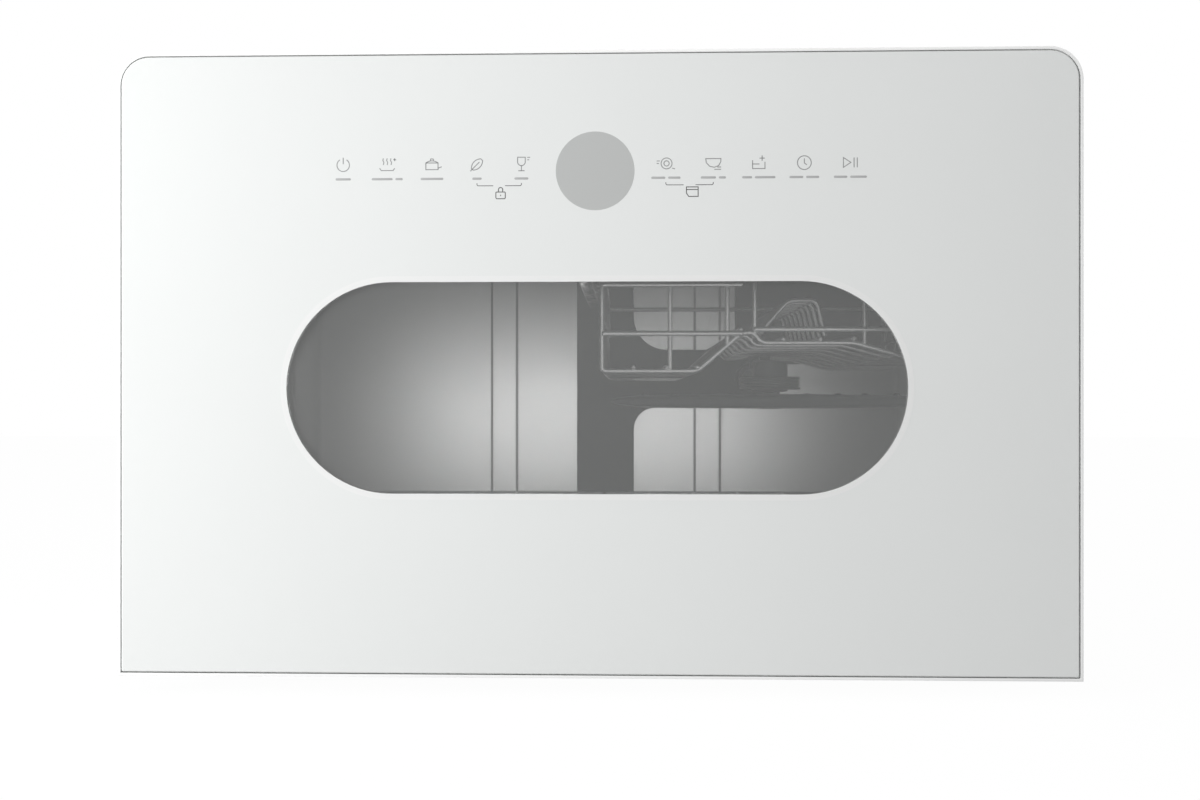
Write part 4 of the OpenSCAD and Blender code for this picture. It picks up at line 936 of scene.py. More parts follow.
@dataclass
class Door:
    """The drop-down door: glass, window, display, symbols, frame, liner and dispenser."""

    face_y: float = -249.9
    back_y: float = -246.05
    window: Outline = field(default_factory=lambda: stadium(354, 121, WINDOW_UP))
    band: Outline = field(default_factory=lambda: stadium(360.8, 127.8, WINDOW_UP))
    display_up: float = 299.0
    key_up: float = 303.0
    bar_up: float = 294.9
    link_up: float = 290.8
    low_mark_up: float = 287.0
    stroke: float = 0.5
    liner_y: float = -210.6
    bar_gap: float = 1.6
    keys: tuple = (Key(Mark.POWER, -144.2, (8.8,)), Key(Mark.STEAM, -118.9, (12.0, 4.2)),
                   Key(Mark.POT, -93.2, (13.0,)), Key(Mark.LEAF, -67.4, (5.4,)),
                   Key(Mark.GOBLET, -42.0, (8.0,)), Key(Mark.PLATE, 40.2, (8.0, 7.0)),
                   Key(Mark.DISH, 67.1, (8.6, 4.0)), Key(Mark.CLEAN, 92.8, (5.6, 11.6)),
                   Key(Mark.CLOCK, 118.5, (7.8, 7.4)), Key(Mark.START, 144.4, (7.6, 9.4)))

    def build(self) -> None:
        """Makes every piece of the door."""
        self.make_glass()
        self.make_symbols()
        self.make_liner()
        self.make_dispenser()
        softened("door_frame", Look.FRAME, "door", 0.45, 3)
        softened("control_board", Look.BOARD, "door", 0.3)
        softened("hinge_arms", Look.PLATED, "door", 0.4)
        softened("door_strike", Look.PLATED, "door", 0.3)

    def make_glass(self) -> None:
        """The printed glass with its polished edge, the window's band, the two panes and the display."""
        edge = Outline(545.6, 12.2, 365.8, 16.3, 1.0, corner=20)
        sheet = np.concatenate([slab(edge, self.face_y, self.back_y, 0.9),
                                slab(self.window, self.face_y, self.back_y, 0.02, hole=True)[::-1]])
        place("front_glass_printed", Solid().ring(sheet), Look.FACE, "door", ["front_glass"])
        ring = pierced(self.band, self.window, self.face_y - 0.06, self.face_y + 0.02, 0.015)
        place("window_band", Solid().ring(ring), Look.BAND, "door")
        pane = slab(stadium(353.9, 120.9, WINDOW_UP), self.face_y, self.back_y, 0.02)
        place("window_pane", Solid().capped(pane), Look.WINDOW, "door", ["window_glass"])
        inner = slab(stadium(386, 153, WINDOW_UP), self.liner_y - 5.1, self.liner_y - 1.5, 0.4)
        place("window_inner_pane", Solid().capped(inner), Look.INNER_PANE, "door", ["inner_window"])
        disc = slab(Disc(22.4, 0, self.display_up, 96), self.face_y - 0.06, self.face_y + 0.6, 0.04)
        place("display_disc", Solid().capped(disc), Look.DISPLAY, "door", ["display_lens"])

    def make_symbols(self) -> None:
        """The line symbols, the links under two pairs of them and the bars in place of words."""
        front, back = self.face_y - 0.05, self.face_y + 0.03
        lines, low_lines, bars = Solid(), Solid(), Solid()
        shown = [(lines, key.mark, key.across, self.key_up) for key in self.keys]
        shown += [(low_lines, Mark.LOCK, -53.9, self.low_mark_up),
                  (low_lines, Mark.TRAY, 55.2, self.low_mark_up + 0.6)]
        for solid, mark, across, up in shown:
            for stroke in mark.value.strokes:
                ribbon(solid, stroke + (across, up), self.stroke, front, back)
        for left, right in ((self.keys[3], self.keys[4]), (self.keys[5], self.keys[6])):
            middle = (left.across + right.across) / 2
            for end in (left.across, right.across):
                toward = math.copysign(1.0, middle - end)
                link = [(end, self.link_up + 1.5), (end, self.link_up + 0.6),
                        (end + 0.6 * toward, self.link_up), (middle - 3.4 * toward, self.link_up)]
                ribbon(low_lines, np.array(link), self.stroke * 0.8, front, back)
        for key in self.keys:
            start = key.across - (sum(key.bars) + self.bar_gap * (len(key.bars) - 1)) / 2
            for length in key.bars:
                pill = stadium(length, 1.3, self.bar_up, start + length / 2)
                bars.capped(slab(pill, front, back, 0.02))
                start += length + self.bar_gap
        place("touch_symbols", lines, Look.INK, "door")
        place("low_symbols", low_lines, Look.DARK_INK, "door")
        place("label_bars", bars, Look.PALE_INK, "door")

    def make_liner(self) -> None:
        """The pressed steel liner with its screws.

        Points run from the notched outline (t = 0) to the window's hole (t = 1); the field sinks 1 mm between
        t = 0.16 and 0.24, and the hole's lip turns in.
        """
        pitch = 3.0
        arch = Outline(544, 92, 365, 15.5, 1.0, up=tuple(np.linspace(0, 1, 30)[1:-1])).arch()
        apron = [(-252.5, 92), (-252.5, 11), (252.5, 11), (252.5, 92), (272, 92)]
        outer = walked(np.vstack([arch, apron]), pitch)
        hole = stadium(374, 141, WINDOW_UP).points()
        inner = walked(np.vstack([hole, hole[:1]]), pitch)
        centre = (0.0, WINDOW_UP)
        spokes = np.vstack([outer, inner]) - centre
        angles = np.unique(np.round(np.arctan2(spokes[:, 1], spokes[:, 0]), 5))
        far, near = by_angle(outer, centre, angles), by_angle(inner, centre, angles)
        t = np.array([0, 0.004, 0.1, 0.16, 0.18, 0.2, 0.22, 0.24, 0.5, 0.9, 0.985, 1.0])
        sink = np.interp(t, [0, 0.16, 0.2, 0.24, 0.985, 1.0], [0, 0, 0.5, 1.0, 1.0, 0.5]) + 0.3 * (t == 0)
        flat = far[None] * (1 - t)[:, None, None] + near[None] * t[:, None, None]
        front = stand(flat, (self.liner_y - sink)[:, None])
        behind = front[::-1] - np.array([0, 0.35, 0])
        pressed = Solid().ring(np.concatenate([front, behind]))
        place("liner_pressed", pressed, Look.LINER, "door", ["inner_liner"])
        heads = Solid()
        spots = [(side * 265, up) for side in (-1, 1) for up in (120, 190, 270, 340)]
        spots += [(x, 20) for x in (-200, -100, 100, 200)]
        for x, z in spots:
            screw_head(heads, x, z, self.liner_y, 3.6, 0.5)
        place("liner_screw_heads", heads, Look.BRIGHT, "door", ["liner_screws"])

    def make_dispenser(self) -> None:
        """The dispenser in the liner: body, ribbed lid on its pin, and the rinse-aid cap with its grip."""
        softened("dispenser_body", Look.GREY, "door", 0.7, 3)
        lid = Solid().capped(slab(Outline(68, 270, 328, 5, 5, -147), -208.7, -206.5, 0.8))
        for k in range(5):
            lid.capped(block((-160, -206.9, 313 + 2.6 * k), (-134, -206.05, 314.2 + 2.6 * k), 0.25))
        lid.capped(slab(stadium(40, 20, 292, -147), -206.7, -206.15, 0.25))
        lid.capped(turned([(1.9, -35), (2.2, -34.6), (2.2, 34.6), (1.9, 35)], (-147, -207.0, 268), "x", 24))
        place("dispenser_lid_ribbed", lid, Look.PALE, "dispenser_lid", ["dispenser_lid"])
        turn = [(10.5, -8), (10.7, -7.6), (10.7, 2), (13.6, 2), (14, 2.4), (14, 3.0), (13.6, 3.4), (6, 3.4)]
        cap = Solid().capped(turned(turn, (-71, self.liner_y, 298), "y", 48))
        cap.capped(block((-82, -207.4, 296), (-60, -204.3, 300), 0.7))
        place("rinse_cap_grip", cap, Look.BLUE, "rinse_cap", ["rinse_cap"])


# ---- The tub ----


@dataclass
class Tub:
    """The stainless tub with its flange, seal, felt, duct, arms, filter and latch."""

    mouth_y: float = -206.5
    back_y: float = 195.0
    corner: float = 6.0
    gauge: float = 1.5
    arm_y: float = -8.0
    rib: tuple = (76.0, 97.5)
    rib_up: float = 1.5
    hub: tuple = (121.0, -10.0)
    pipe_up: float = 187.0
    cuts_x: tuple = (206.0, 180.0, 155.0, 130.0, 112.0, 101.0, 99.2, 98.2, 97.2, 96.2, 95.0, 90.0, 83.0, 78.5,
                     77.2, 76.2, 75.2, 74.2, 72.0, 60.0, 40.0, 20.0)
    cuts_z: tuple = (99.0, 103.0, 110.0, 125.0, 145.0, 165.0, 185.0, 205.0, 225.0, 245.0, 265.0, 285.0, 300.0,
                     310.0, 316.0, 320.0)

    def build(self) -> None:
        """Makes every piece of the tub."""
        self.make_shell()
        self.make_flange()
        self.make_felt()
        self.make_arms()
        self.make_filter()
        softened("spray_duct", Look.DUCT, "cabinet", 1.2, 3)
        softened("upper_rails", Look.BRIGHT, "cabinet", 0.5)
        softened("latch_body", Look.GREY, "cabinet", 0.6)
        softened("latch_hook", Look.AMBER, "latch_hook", 0.3)

    def outline(self) -> Outline:
        """The tub's inner outline, cut finely beside the ribs."""
        x = np.array(self.cuts_x + (0.0,) + tuple(-cut for cut in self.cuts_x[::-1]))
        across, up = (222 - x) / 444, (np.array(self.cuts_z) - 96) / 228
        return Outline(496, 70, 350, 26, 26, across=tuple(across), up=tuple(up))

    def press(self, points: Array) -> Array:
        """Presses the ribs in: `rib_up` into the tub where a rib's smooth box mask is 1."""
        pressed = points.copy()
        x, y, z = np.moveaxis(points, -1, 0)
        back = smooth_box(abs(x), *self.rib, 2.0) * smooth_box(z, 84, 328, 8.0) * (y > self.back_y - 1)
        side = smooth_box(y, 66, 101, 4.0) * smooth_box(z, 100, 320, 8.0) * (abs(x) > 240) * (y < 150)
        pressed[..., 1] -= self.rib_up * back
        pressed[..., 0] -= np.sign(x) * self.rib_up * side
        return pressed

    def make_shell(self) -> None:
        """The shell: the outline carried from the mouth to the back.

        The last R = 6 mm follow a quarter circle, inset = R (1 - cos a) at depth R sin a, and the back wall
        is a grid that the last loops shrink to. The faces over the sump are left out.
        """
        outline = self.outline()
        depths = [self.mouth_y, -205.5, -180, -150, -120, -90, -60, -30, 0, 30, 50, 60, 64, 68, 72, 90, 95,
                  99, 103, 110, 130, 155, self.back_y - self.corner]
        turn = np.radians(np.linspace(0, 90, 9))[1:]
        insets = [0.0] * len(depths) + list(self.corner * (1 - np.cos(turn))) + [10.0, 14.0, 18.0, 26.0]
        depths += list(self.back_y - self.corner + self.corner * np.sin(turn)) + [self.back_y] * 4
        loops = [stand(outline.points(inset), depth) for inset, depth in zip(insets, depths)]
        walls = self.press(np.stack(loops))
        corners = walls.reshape(-1, 3)[cells(*walls.shape[:2], False, True)].mean(axis=1)
        over_sump = (corners[:, 2] < 71) & (np.hypot(corners[:, 0], corners[:, 1] - self.arm_y) < 66)
        shell = Solid().sheet(walls, round_columns=True, flip=True, keep=~over_sump)
        lines_x = np.array([-222.0, *sorted((*self.cuts_x, 0.0, *(-cut for cut in self.cuts_x))), 222.0])
        lines_z = np.array([96.0, *self.cuts_z, 324.0])
        across, up = np.meshgrid(lines_x, lines_z, indexing="ij")
        shell.sheet(self.press(stand(np.stack([across, up], axis=-1), self.back_y)))
        piece = place("tub_shell", shell, Look.TUB, "cabinet", ["tub"], 50, reach=0.04)
        wall = piece.modifiers.new("wall", "SOLIDIFY")
        wall.thickness = self.gauge * MM
        wall.offset = -1
        piece.modifiers.move(0, 1)

    def make_flange(self) -> None:
        """The flange round the mouth, and the rubber seal that bulges towards the door."""
        near, far = Outline(496.4, 70, 350.2, 26.2, 26.2).arch(), Outline(544, 76, 364.9, 14.5, 1.0).arch()
        stations = [(0, 0), (0.02, 0), (0.96, 0), (1, 0.6), (1, self.gauge), (0.02, self.gauge),
                    (0, self.gauge)]
        strips = [stand(near * (1 - t) + far * t, self.mouth_y + depth) for t, depth in stations]
        place("tub_flange", Solid().capped(np.stack(strips, axis=1)), Look.TUB, "cabinet")
        turn = np.linspace(0, np.pi, 13)
        width = np.concatenate([(1 - np.cos(turn)) / 2, [0.8, 0.5, 0.2]])
        bulge = np.concatenate([-3.1 * np.sin(turn) ** 0.6, [0.0, 0.0, 0.0]])
        near = Outline(497, 69.5, 350.5, 26.5, 26.5).points()
        far = Outline(511, 62.5, 357.5, 33.5, 33.5).points()
        ring = np.stack([stand(near * (1 - t) + far * t, self.mouth_y - 0.05 + rise)
                         for t, rise in zip(width, bulge)])
        ring[..., 2] = np.maximum(ring[..., 2], 67.0 + 0.2 * (ring[..., 1] - self.mouth_y) / 3)
        place("mouth_seal", Solid().ring(ring), Look.SEAL, "cabinet", ["tub_seal"], 60)

    def make_felt(self) -> None:
        """The felt over the tub: its thickness swells and thins with two crossed sine waves."""
        near = walked(Outline(500, 110, 352, 28, 1.0).arch(), 9.0)
        far = np.stack([np.interp(np.linspace(0, 1, len(near)), np.linspace(0, 1, len(walk)), walk)
                        for walk in walked(Outline(512, 110, 358, 34, 1.0).arch(), 9.0).T], axis=1)
        depth = np.linspace(-149.5, 179.5, 34)
        round_it = np.arange(len(near))[:, None]
        wave = np.sin(round_it * 0.55 + 0.9 * np.sin(depth / 31)) * np.sin(depth / 17 + round_it * 0.21)
        lump = 0.16 + 0.1 * wave
        outer = far[:, None] * (1 - lump[..., None]) + near[:, None] * lump[..., None]
        inner = np.broadcast_to((near * 0.92 + far * 0.08)[:, None], outer.shape)
        skin = np.concatenate([stand(outer, depth[None]), stand(inner, depth[None])[:, ::-1]], axis=1)
        place("felt_wrap", Solid().capped(skin), Look.FELT, "cabinet", ["insulation"], 60)

    def make_arms(self) -> None:
        """The two spray arms and the upper arm's feed pipe with its hub."""
        self.make_arm("lower_spray_arm", (0, self.arm_y), 178, 34, 76.5, 83.3, 5, "lower_spray_arm")
        self.make_arm("upper_spray_arm", self.hub, 115, 26, 162.4, 172.9, 4, "upper_spray_arm")
        x, up, foot = self.hub[0], self.pipe_up, (*self.hub, 0)
        path = np.array([(x, y, up) for y in (-8, 60, 120, 173.6)], float)
        pipe = Solid().capped(tube(path, 7.9, 28, tip=0.6))
        pipe.capped(turned([(9.4, 0), (10.2, 0.6), (10.2, 8), (9.4, 8.6)], (x, 160, up), "y", 32))
        pin_and_hub = [(6.8, 162.1), (7.9, 162.4), (7.9, 164.5), (5, 164.9), (5, 174.3), (11, 174.5),
                       (12.8, 175.2), (12.9, 196.2), (11.6, 196.8), (6, 196.9)]
        pipe.capped(turned(pin_and_hub, foot, "z", 40))
        ribs = [(20.4, 176.1), (21.9, 176.6)]
        for k in range(4):
            step = 2.2 * k
            ribs += [(21.9, 177.4 + step), (20.6, 177.8 + step), (20.6, 178.8 + step), (21.9, 179.2 + step)]
        pipe.capped(turned(ribs[:-2] + [(21.9, 184.9), (20.4, 185.3)], foot, "z", 48))
        for y in (32, 124):
            pipe.capped(block((x - 3.8, y - 3.8, 193), (x + 3.8, y + 3.8, 201.2), 0.6))
        place("feed_pipe_hub", pipe, Look.ARM, "upper_rack", ["feed_pipe"])

    def make_arm(self, node: str, centre: tuple, reach: float, width: float, low: float, high: float,
                 nozzles: int, body: str) -> None:
        """A two-bladed spray arm with its jets.

        At a distance x from the hub the section is a rounded box, half width w(x) and half height h(x):
        w = half width (1 - 0.22 u^2) sqrt(1 - u^10) plus a bell at the hub, h = half height (1 - 0.25 u^2)
        sqrt(1 - u^10), with u = x / reach.

        Args:
            node: the node that the arm stands for.
            centre: the hub's middle.
            reach: length of one blade.
            width: width of a blade.
            low: underside.
            high: upper side.
            nozzles: jets on a blade.
            body: the body that it rides on.
        """
        u = np.sin(np.radians(np.linspace(-89, 89, 75)))
        end = np.sqrt(1 - u ** 10)
        bell = np.exp(-(u * reach / (width * 0.55)) ** 4)
        half = width / 2 * (1 - 0.22 * u ** 2) * end + 0.11 * width * bell
        rise = (high - low) / 2 * (1 - 0.25 * u ** 2) * end
        turn = 2 * np.pi * np.arange(28) / 28
        aside, over = np.cos(turn), np.sin(turn)
        y = centre[1] + half[:, None] * (np.sign(aside) * abs(aside) ** 0.7)
        z = (low + high) / 2 + rise[:, None] * (np.sign(over) * abs(over) ** 0.6)
        x = np.broadcast_to(centre[0] + (u * reach)[:, None], y.shape)
        arm = Solid().capped(np.stack([x, y, z], axis=-1))
        for side in (-1, 1):
            for k in range(nozzles):
                along = side * (reach * 0.24 + k * reach * 0.72 / nozzles)
                aside = (side if k % 2 == 0 else -side) * width * 0.22
                jet = [(2.3, -1.2), (2.3, 0.1), (1.9, 0.5), (1.3, 0.5), (1.0, -0.2)]
                arm.capped(turned(jet, (centre[0] + along, centre[1] + aside, high - 0.05), "z", 16))
        place(node + "_blades", arm, Look.ARM, body, [node], 50)

    def make_filter(self) -> None:
        """The filter plate, the cup with its grip, and the salt cap with its knurled rim."""
        softened("filter_plate", Look.BRIGHT, "cabinet", 0.15, 1)
        softened("filter_cup", Look.MID, "filter_cup", 0.4)
        profile = [(26.2, 0), (27, 0.5), (27, 1.6), (26.2, 2.1), (20, 2.1), (19.5, 1.5), (8, 1.5)]
        centre = np.array([-160, 100])
        rim = turned(profile, (*centre, 70.4), "z", 96)
        spokes = rim[..., :2] - centre
        knurl = 1 - 0.012 * (1 + np.cos(24 * np.arctan2(spokes[..., 1], spokes[..., 0])))
        rim[..., :2] = centre + spokes * knurl[..., None]
        cap = Solid().capped(rim).capped(block((-178, 97.5, 71.6), (-142, 102.5, 75.5), 0.8))
        place("salt_cap_knurled", cap, Look.MID, "salt_cap", ["salt_cap"])


# ---- The racks ----


@dataclass
class Racks:
    """Both racks of bright round wire, with their tines, cup rests and wheels."""

    front_y: float = -198.0
    back_y: float = 170.0
    low_back_y: float = 140.0
    low_half: float = 234.0
    low_floor: float = 92.0
    low_rim: float = 104.0
    rim: float = 248.0
    rail: float = 253.0
    pitch: float = 46.0
    wire: float = 1.5
    rod: float = 1.9
    axle_up: float = 78.6
    axle_y: float = 120.0

    def build(self) -> None:
        """Makes both racks and what turns on them."""
        self.make_upper()
        self.make_cup_rests()
        self.make_lower()
        self.make_tines("left_tines", -54, 68)
        self.make_tines("right_tines", 162, 48)
        for name, side, y in (("front_wheel_left", -1, -self.axle_y), ("front_wheel_right", 1, -self.axle_y),
                              ("rear_wheel_left", -1, self.axle_y), ("rear_wheel_right", 1, self.axle_y)):
            self.make_wheel(name, side, y)

    @staticmethod
    def bar(solid: Solid, start: Sequence[float], end: Sequence[float], radius: float) -> None:
        """Adds a straight round wire with rounded ends."""
        x, y, z = abs(np.array(end, float) - np.array(start, float))
        up = (0, 0, 1) if z < x + y else (0, 1, 0)
        up = (1, 0, 0) if z > 0.9 * math.dist(start, end) else up
        solid.capped(tube(np.array([start, end], float), radius, 10, up, tip=radius * 0.8))

    def make_upper(self) -> None:
        """The half-width upper rack: wires bent to the stepped floor, long wires, rims, front and runners."""
        rack = Solid()
        left, right = 3, 234
        profile = [(left, self.rim), (left, 186), (60.5, 186), (86.5, 208.6), (94, 209.5), (99, 203),
                   (154, 203), (184, 194.7), (right, 194.7), (right, self.rim)]
        bent = eased(profile, 3.4, 6)
        for k in range(9):
            rack.capped(tube(stand(bent, self.front_y + k * self.pitch), self.wire, 10, (0, 1, 0)))
        for x, z in ((22, 186), (42, 186), (60.5, 186), (86.5, 208.6), (112, 203), (134, 203), (154, 203),
                     (184, 194.7), (200, 194.7), (217, 194.7)):
            self.bar(rack, (x, self.front_y - 2, z + 2.4), (x, self.back_y + 2, z + 2.4), self.wire)
        for x in (left, right):
            for z in (self.rim, 216):
                self.bar(rack, (x, self.front_y - 1, z), (x, self.back_y + 1, z), self.rod)
        for y, z in ((self.front_y, self.rim), (self.back_y, self.rim - 3.5)):
            self.bar(rack, (left - 1, y, z), (right + 1, y, z), self.rod)
        for start, end, z in ((left, 88, 208.6), (left, 88, 238), (94, right, 211)):
            self.bar(rack, (start, self.front_y - 1.8, z), (end, self.front_y - 1.8, z), 1.7)
        for x, z in ((44, 186), (78.3, 201.6), (94.8, 208), (160.4, 201.4), (200, 194.7)):
            self.bar(rack, (x, self.front_y, z), (x, self.front_y, self.rim), self.wire)
        for near, far in ((left, -6.7), (right, 241.7)):
            self.bar(rack, (far, self.front_y + 4, self.rail), (far, self.back_y - 4, self.rail), 2.3)
            for k in range(1, 8):
                y = self.front_y + k * self.pitch
                self.bar(rack, (near, y, self.rim), (far, y, self.rail), self.wire)
        place("upper_rack_wires", rack, Look.WIRE, "upper_rack", ["upper_rack"], 60)

    def make_cup_rests(self) -> None:
        """Nine bent wires on one turning bar, with a tie bar along their tops."""
        rests = Solid()
        shape = eased([(100, 210), (117.6, 230), (135, 230), (140, 207.8)], 4.5, 7)
        for k in range(9):
            rests.capped(tube(stand(shape, -172 + 26 * k), 1.3, 10, (0, 1, 0), tip=0.8))
        self.bar(rests, (100, -186, 210), (100, 50, 210), 1.8)
        self.bar(rests, (132.4, -173, 230), (132.4, 37, 230), 1.2)
        place("cup_rest_wires", rests, Look.WIRE, "cup_tines", ["cup_tines"], 60)

    def make_lower(self) -> None:
        """The low rack: long wires turned up in front, cross wires turned up at both sides, and rims."""
        rack = Solid()
        reach, half = self.low_half - 2, self.low_half
        front, back, floor, rim = self.front_y, self.low_back_y, self.low_floor, self.low_rim
        long_wire = eased([(front, rim), (front + 5, floor), (back, floor)], 4)
        cross = eased([(-reach, rim), (1 - reach, floor - 2), (reach - 1, floor - 2), (reach, rim)], 4)
        for k in range(-6, 7):
            rack.capped(tube(stand(long_wire, k * 36.0, "x"), self.wire, 10, (1, 0, 0), tip=0.8))
        for k in range(7):
            rack.capped(tube(stand(cross, front + 22 + k * self.pitch), self.wire, 10, (0, 1, 0)))
        self.bar(rack, (-half, front, rim), (half, front, rim), self.rod)
        self.bar(rack, (-half, back, floor), (half, back, floor), self.rod)
        side_rim = eased([(front - 1.5, rim), (back - 12, rim), (back, floor)], 5)
        for side in (-1, 1):
            rack.capped(tube(stand(side_rim, side * reach, "x"), self.rod, 10, (1, 0, 0), tip=1.2))
            for y in (-self.axle_y, self.axle_y):
                self.add_bracket(rack, side, y)
        place("lower_rack_wires", rack, Look.WIRE, "lower_rack", ["lower_rack"], 60)

    def add_bracket(self, rack: Solid, side: int, y: float) -> None:
        """Adds a wheel's bracket: a plate, the axle with its head, and two fingers under the cross wires."""
        low, high = sorted((side * 208, side * 210.5))
        rack.capped(block((low, y - 8, 75), (high, y + 8, 93), 0.5))
        axle = [(1.9, 0), (2.4, 0.5), (2.4, 8.5), (3.4, 8.6), (3.4, 9.6), (2.6, 10)]
        outward = [(radius, side * height) for radius, height in axle]
        rack.capped(turned(outward, (side * 210, y, self.axle_up), "x", 20))
        low, high = sorted((side * 172, side * 210.4))
        for dy in (-6.5, 6.5):
            rack.capped(block((low, y + dy - 1, 88.3), (high, y + dy + 1, 90.4), 0.3))

    def make_tines(self, node: str, x: float, length: float) -> None:
        """A row of tines on its turning bar, folded flat towards the left."""
        row = Solid()
        self.bar(row, (x, -162, 96.5), (x, 18, 96.5), 1.8)
        for k in range(7):
            y = -150 + 26 * k
            self.bar(row, (x, y, 96.5), (x - length, y, 96.5), 1.4)
        place(node + "_wires", row, Look.WIRE, node, [node], 60)

    def make_wheel(self, node: str, side: int, y: float) -> None:
        """A dished rack wheel with a crowned tread."""
        half = [(2.46, 0.1), (4.0, 0), (4.3, 1.5), (6.3, 1.5), (6.7, 0), (7.8, 0), (8.25, 0.5), (8.4, 2.0)]
        profile = half + [(radius, 7 - height) for radius, height in half[::-1]]
        outward = [(radius, side * height) for radius, height in profile]
        wheel = turned(outward, (side * 212, y, self.axle_up), "x", 40)
        place(node + "_dished", Solid().ring(wheel), Look.MID, node, [node])


# ---- The casing ----


@dataclass
class Casing:
    """The painted casing, rear panel, base, feet and what shows on the back."""

    front_y: float = -208.0
    back_y: float = 233.0
    notch_y: float = -177.0
    notch_up: float = 69.0
    low: float = 14.0
    sheet: float = 1.2

    def build(self) -> None:
        """Makes every piece of the casing."""
        self.make_wrap()
        self.make_back()
        self.make_feet()
        self.make_connections()
        softened("base_tray", Look.DARK, "cabinet", 0.9, 3)
        softened("hinge_brackets", Look.PLATED, "cabinet", 0.35)

    def make_wrap(self) -> None:
        """The painted wrap: an arch from front to back whose skin folds in at both hems.

        Its feet stand at z = 14, but at z = 69 in front of the hinge notch.
        """
        outline = Outline(548, self.low, 366.5, 17.5, 1.0, corner=16)
        inner = outline.arch(self.sheet)
        soft = self.sheet * 0.45
        stations = [self.front_y, self.front_y + 0.2, self.front_y + soft, self.notch_y - 0.6,
                    self.notch_y + 0.1, -120.0, -40.0, 40.0, 120.0, self.back_y - 0.4, self.back_y]
        insets = [0.55, 0.2, 0.0, 0.0, 0.0, 0.0, 0.0, 0.0, 0.0, 0.2, 0.5]
        rows = [self.footed(outline.arch(0.05 + inset), y) for y, inset in zip(stations, insets)]
        rows += [self.footed(inner, y) for y in stations[::-1]]
        wrap = Solid().capped(np.stack(rows).transpose(1, 0, 2))
        place("casing_wrap", wrap, Look.CASING, "cabinet", ["cabinet_wrap"], 45)

    def footed(self, skin: Array, y: float) -> Array:
        """Stands a loop up at y and lifts what is below the casing's foot there up to it."""
        lifted = stand(skin, y)
        lifted[..., 2] = np.maximum(lifted[..., 2], self.notch_up if y < self.notch_y else self.low)
        return lifted

    def make_back(self) -> None:
        """The rear panel, a louvre over each of its vents, and the screws."""
        softened("rear_panel", Look.BACK, "cabinet", 0.3)
        hoods = Solid()
        curl = np.radians(np.linspace(0, 90, 7))
        lip = np.concatenate([np.column_stack([3.4 * np.sin(curl), 4.6 - 4.6 * np.cos(curl)]),
                              np.column_stack([2.6 * np.sin(curl), 4.6 - 3.8 * np.cos(curl)])[::-1]])
        for x in (-95, 95):
            for k in range(8):
                profile = np.column_stack([self.back_y - 0.3 + lip[:, 0], 244.6 + 9 * k - lip[:, 1]])
                hoods.capped(np.stack([stand(profile, x + side * 35.5, "x") for side in (-1, 1)]))
        place("rear_louvres", hoods, Look.BACK, "cabinet")
        heads = Solid()
        for x in (-255, 255):
            for z in (60, 160, 260, 345):
                screw_head(heads, x, z, self.back_y, 3.6, 1.9)
        place("rear_screw_heads", heads, Look.BRIGHT, "cabinet", ["rear_screws"])

    def make_feet(self) -> None:
        """The four feet: a ribbed rubber sole, a hexagon for the spanner and a threaded stud."""
        sole = [(13.2, 0), (15.4, 0.3), (16, 1.2), (16, 3.2), (15.2, 4), (13.4, 4.2), (13, 4.8), (13, 6.4),
                (12.4, 7), (10, 7.1)]
        nut = [(10.6, 6.9), (10.8, 7.4), (10.8, 11.0), (10.2, 11.5)]
        for name, body, spots in (("front_foot_left", "front_foot_left", [(-225, -140)]),
                                  ("front_foot_right", "front_foot_right", [(225, -140)]),
                                  ("rear_feet", "cabinet", [(-225, 195), (225, 195)])):
            feet = Solid()
            for x, y in spots:
                feet.capped(turned(sole, (x, y, 0), "z", 48))
                feet.capped(turned(nut, (x, y, 0), "z", 6))
                self.thread(feet, (x, y, 11.3), 3.95, 22.4, 1.5)
            place(name + "_ribbed", feet, Look.RUBBER, body, [name], 40)

    @staticmethod
    def thread(solid: Solid, start: Sequence[float], radius: float, length: float, pitch: float) -> None:
        """Adds a threaded rod that stands up.

        Its radius at a turn a and a height h is lower by 0.45 of a pitch times the triangle wave of
        h / pitch - a / 2 pi.

        Args:
            solid: what the rod is added to.
            start: the foot's middle.
            radius: the thread's outer radius.
            length: the rod's length.
            pitch: the thread's pitch.
        """
        turn = 2 * np.pi * np.arange(24) / 24
        up = np.arange(0, length, pitch / 4)[:, None]
        wave = abs(((up / pitch - turn / (2 * np.pi)) % 1.0) * 2 - 1)
        reach = radius - 0.45 * pitch * wave
        solid.capped(np.stack([start[0] + reach * np.cos(turn), start[1] + reach * np.sin(turn),
                               start[2] + up + 0 * turn], axis=-1))

    def make_connections(self) -> None:
        """The water block with its inlet and drain nozzle, and the cord gland."""
        softened("water_block", Look.PALE, "cabinet", 0.5)
        softened("cord_gland", Look.DARK, "cabinet", 0.5)


# ---- What works under the tub ----


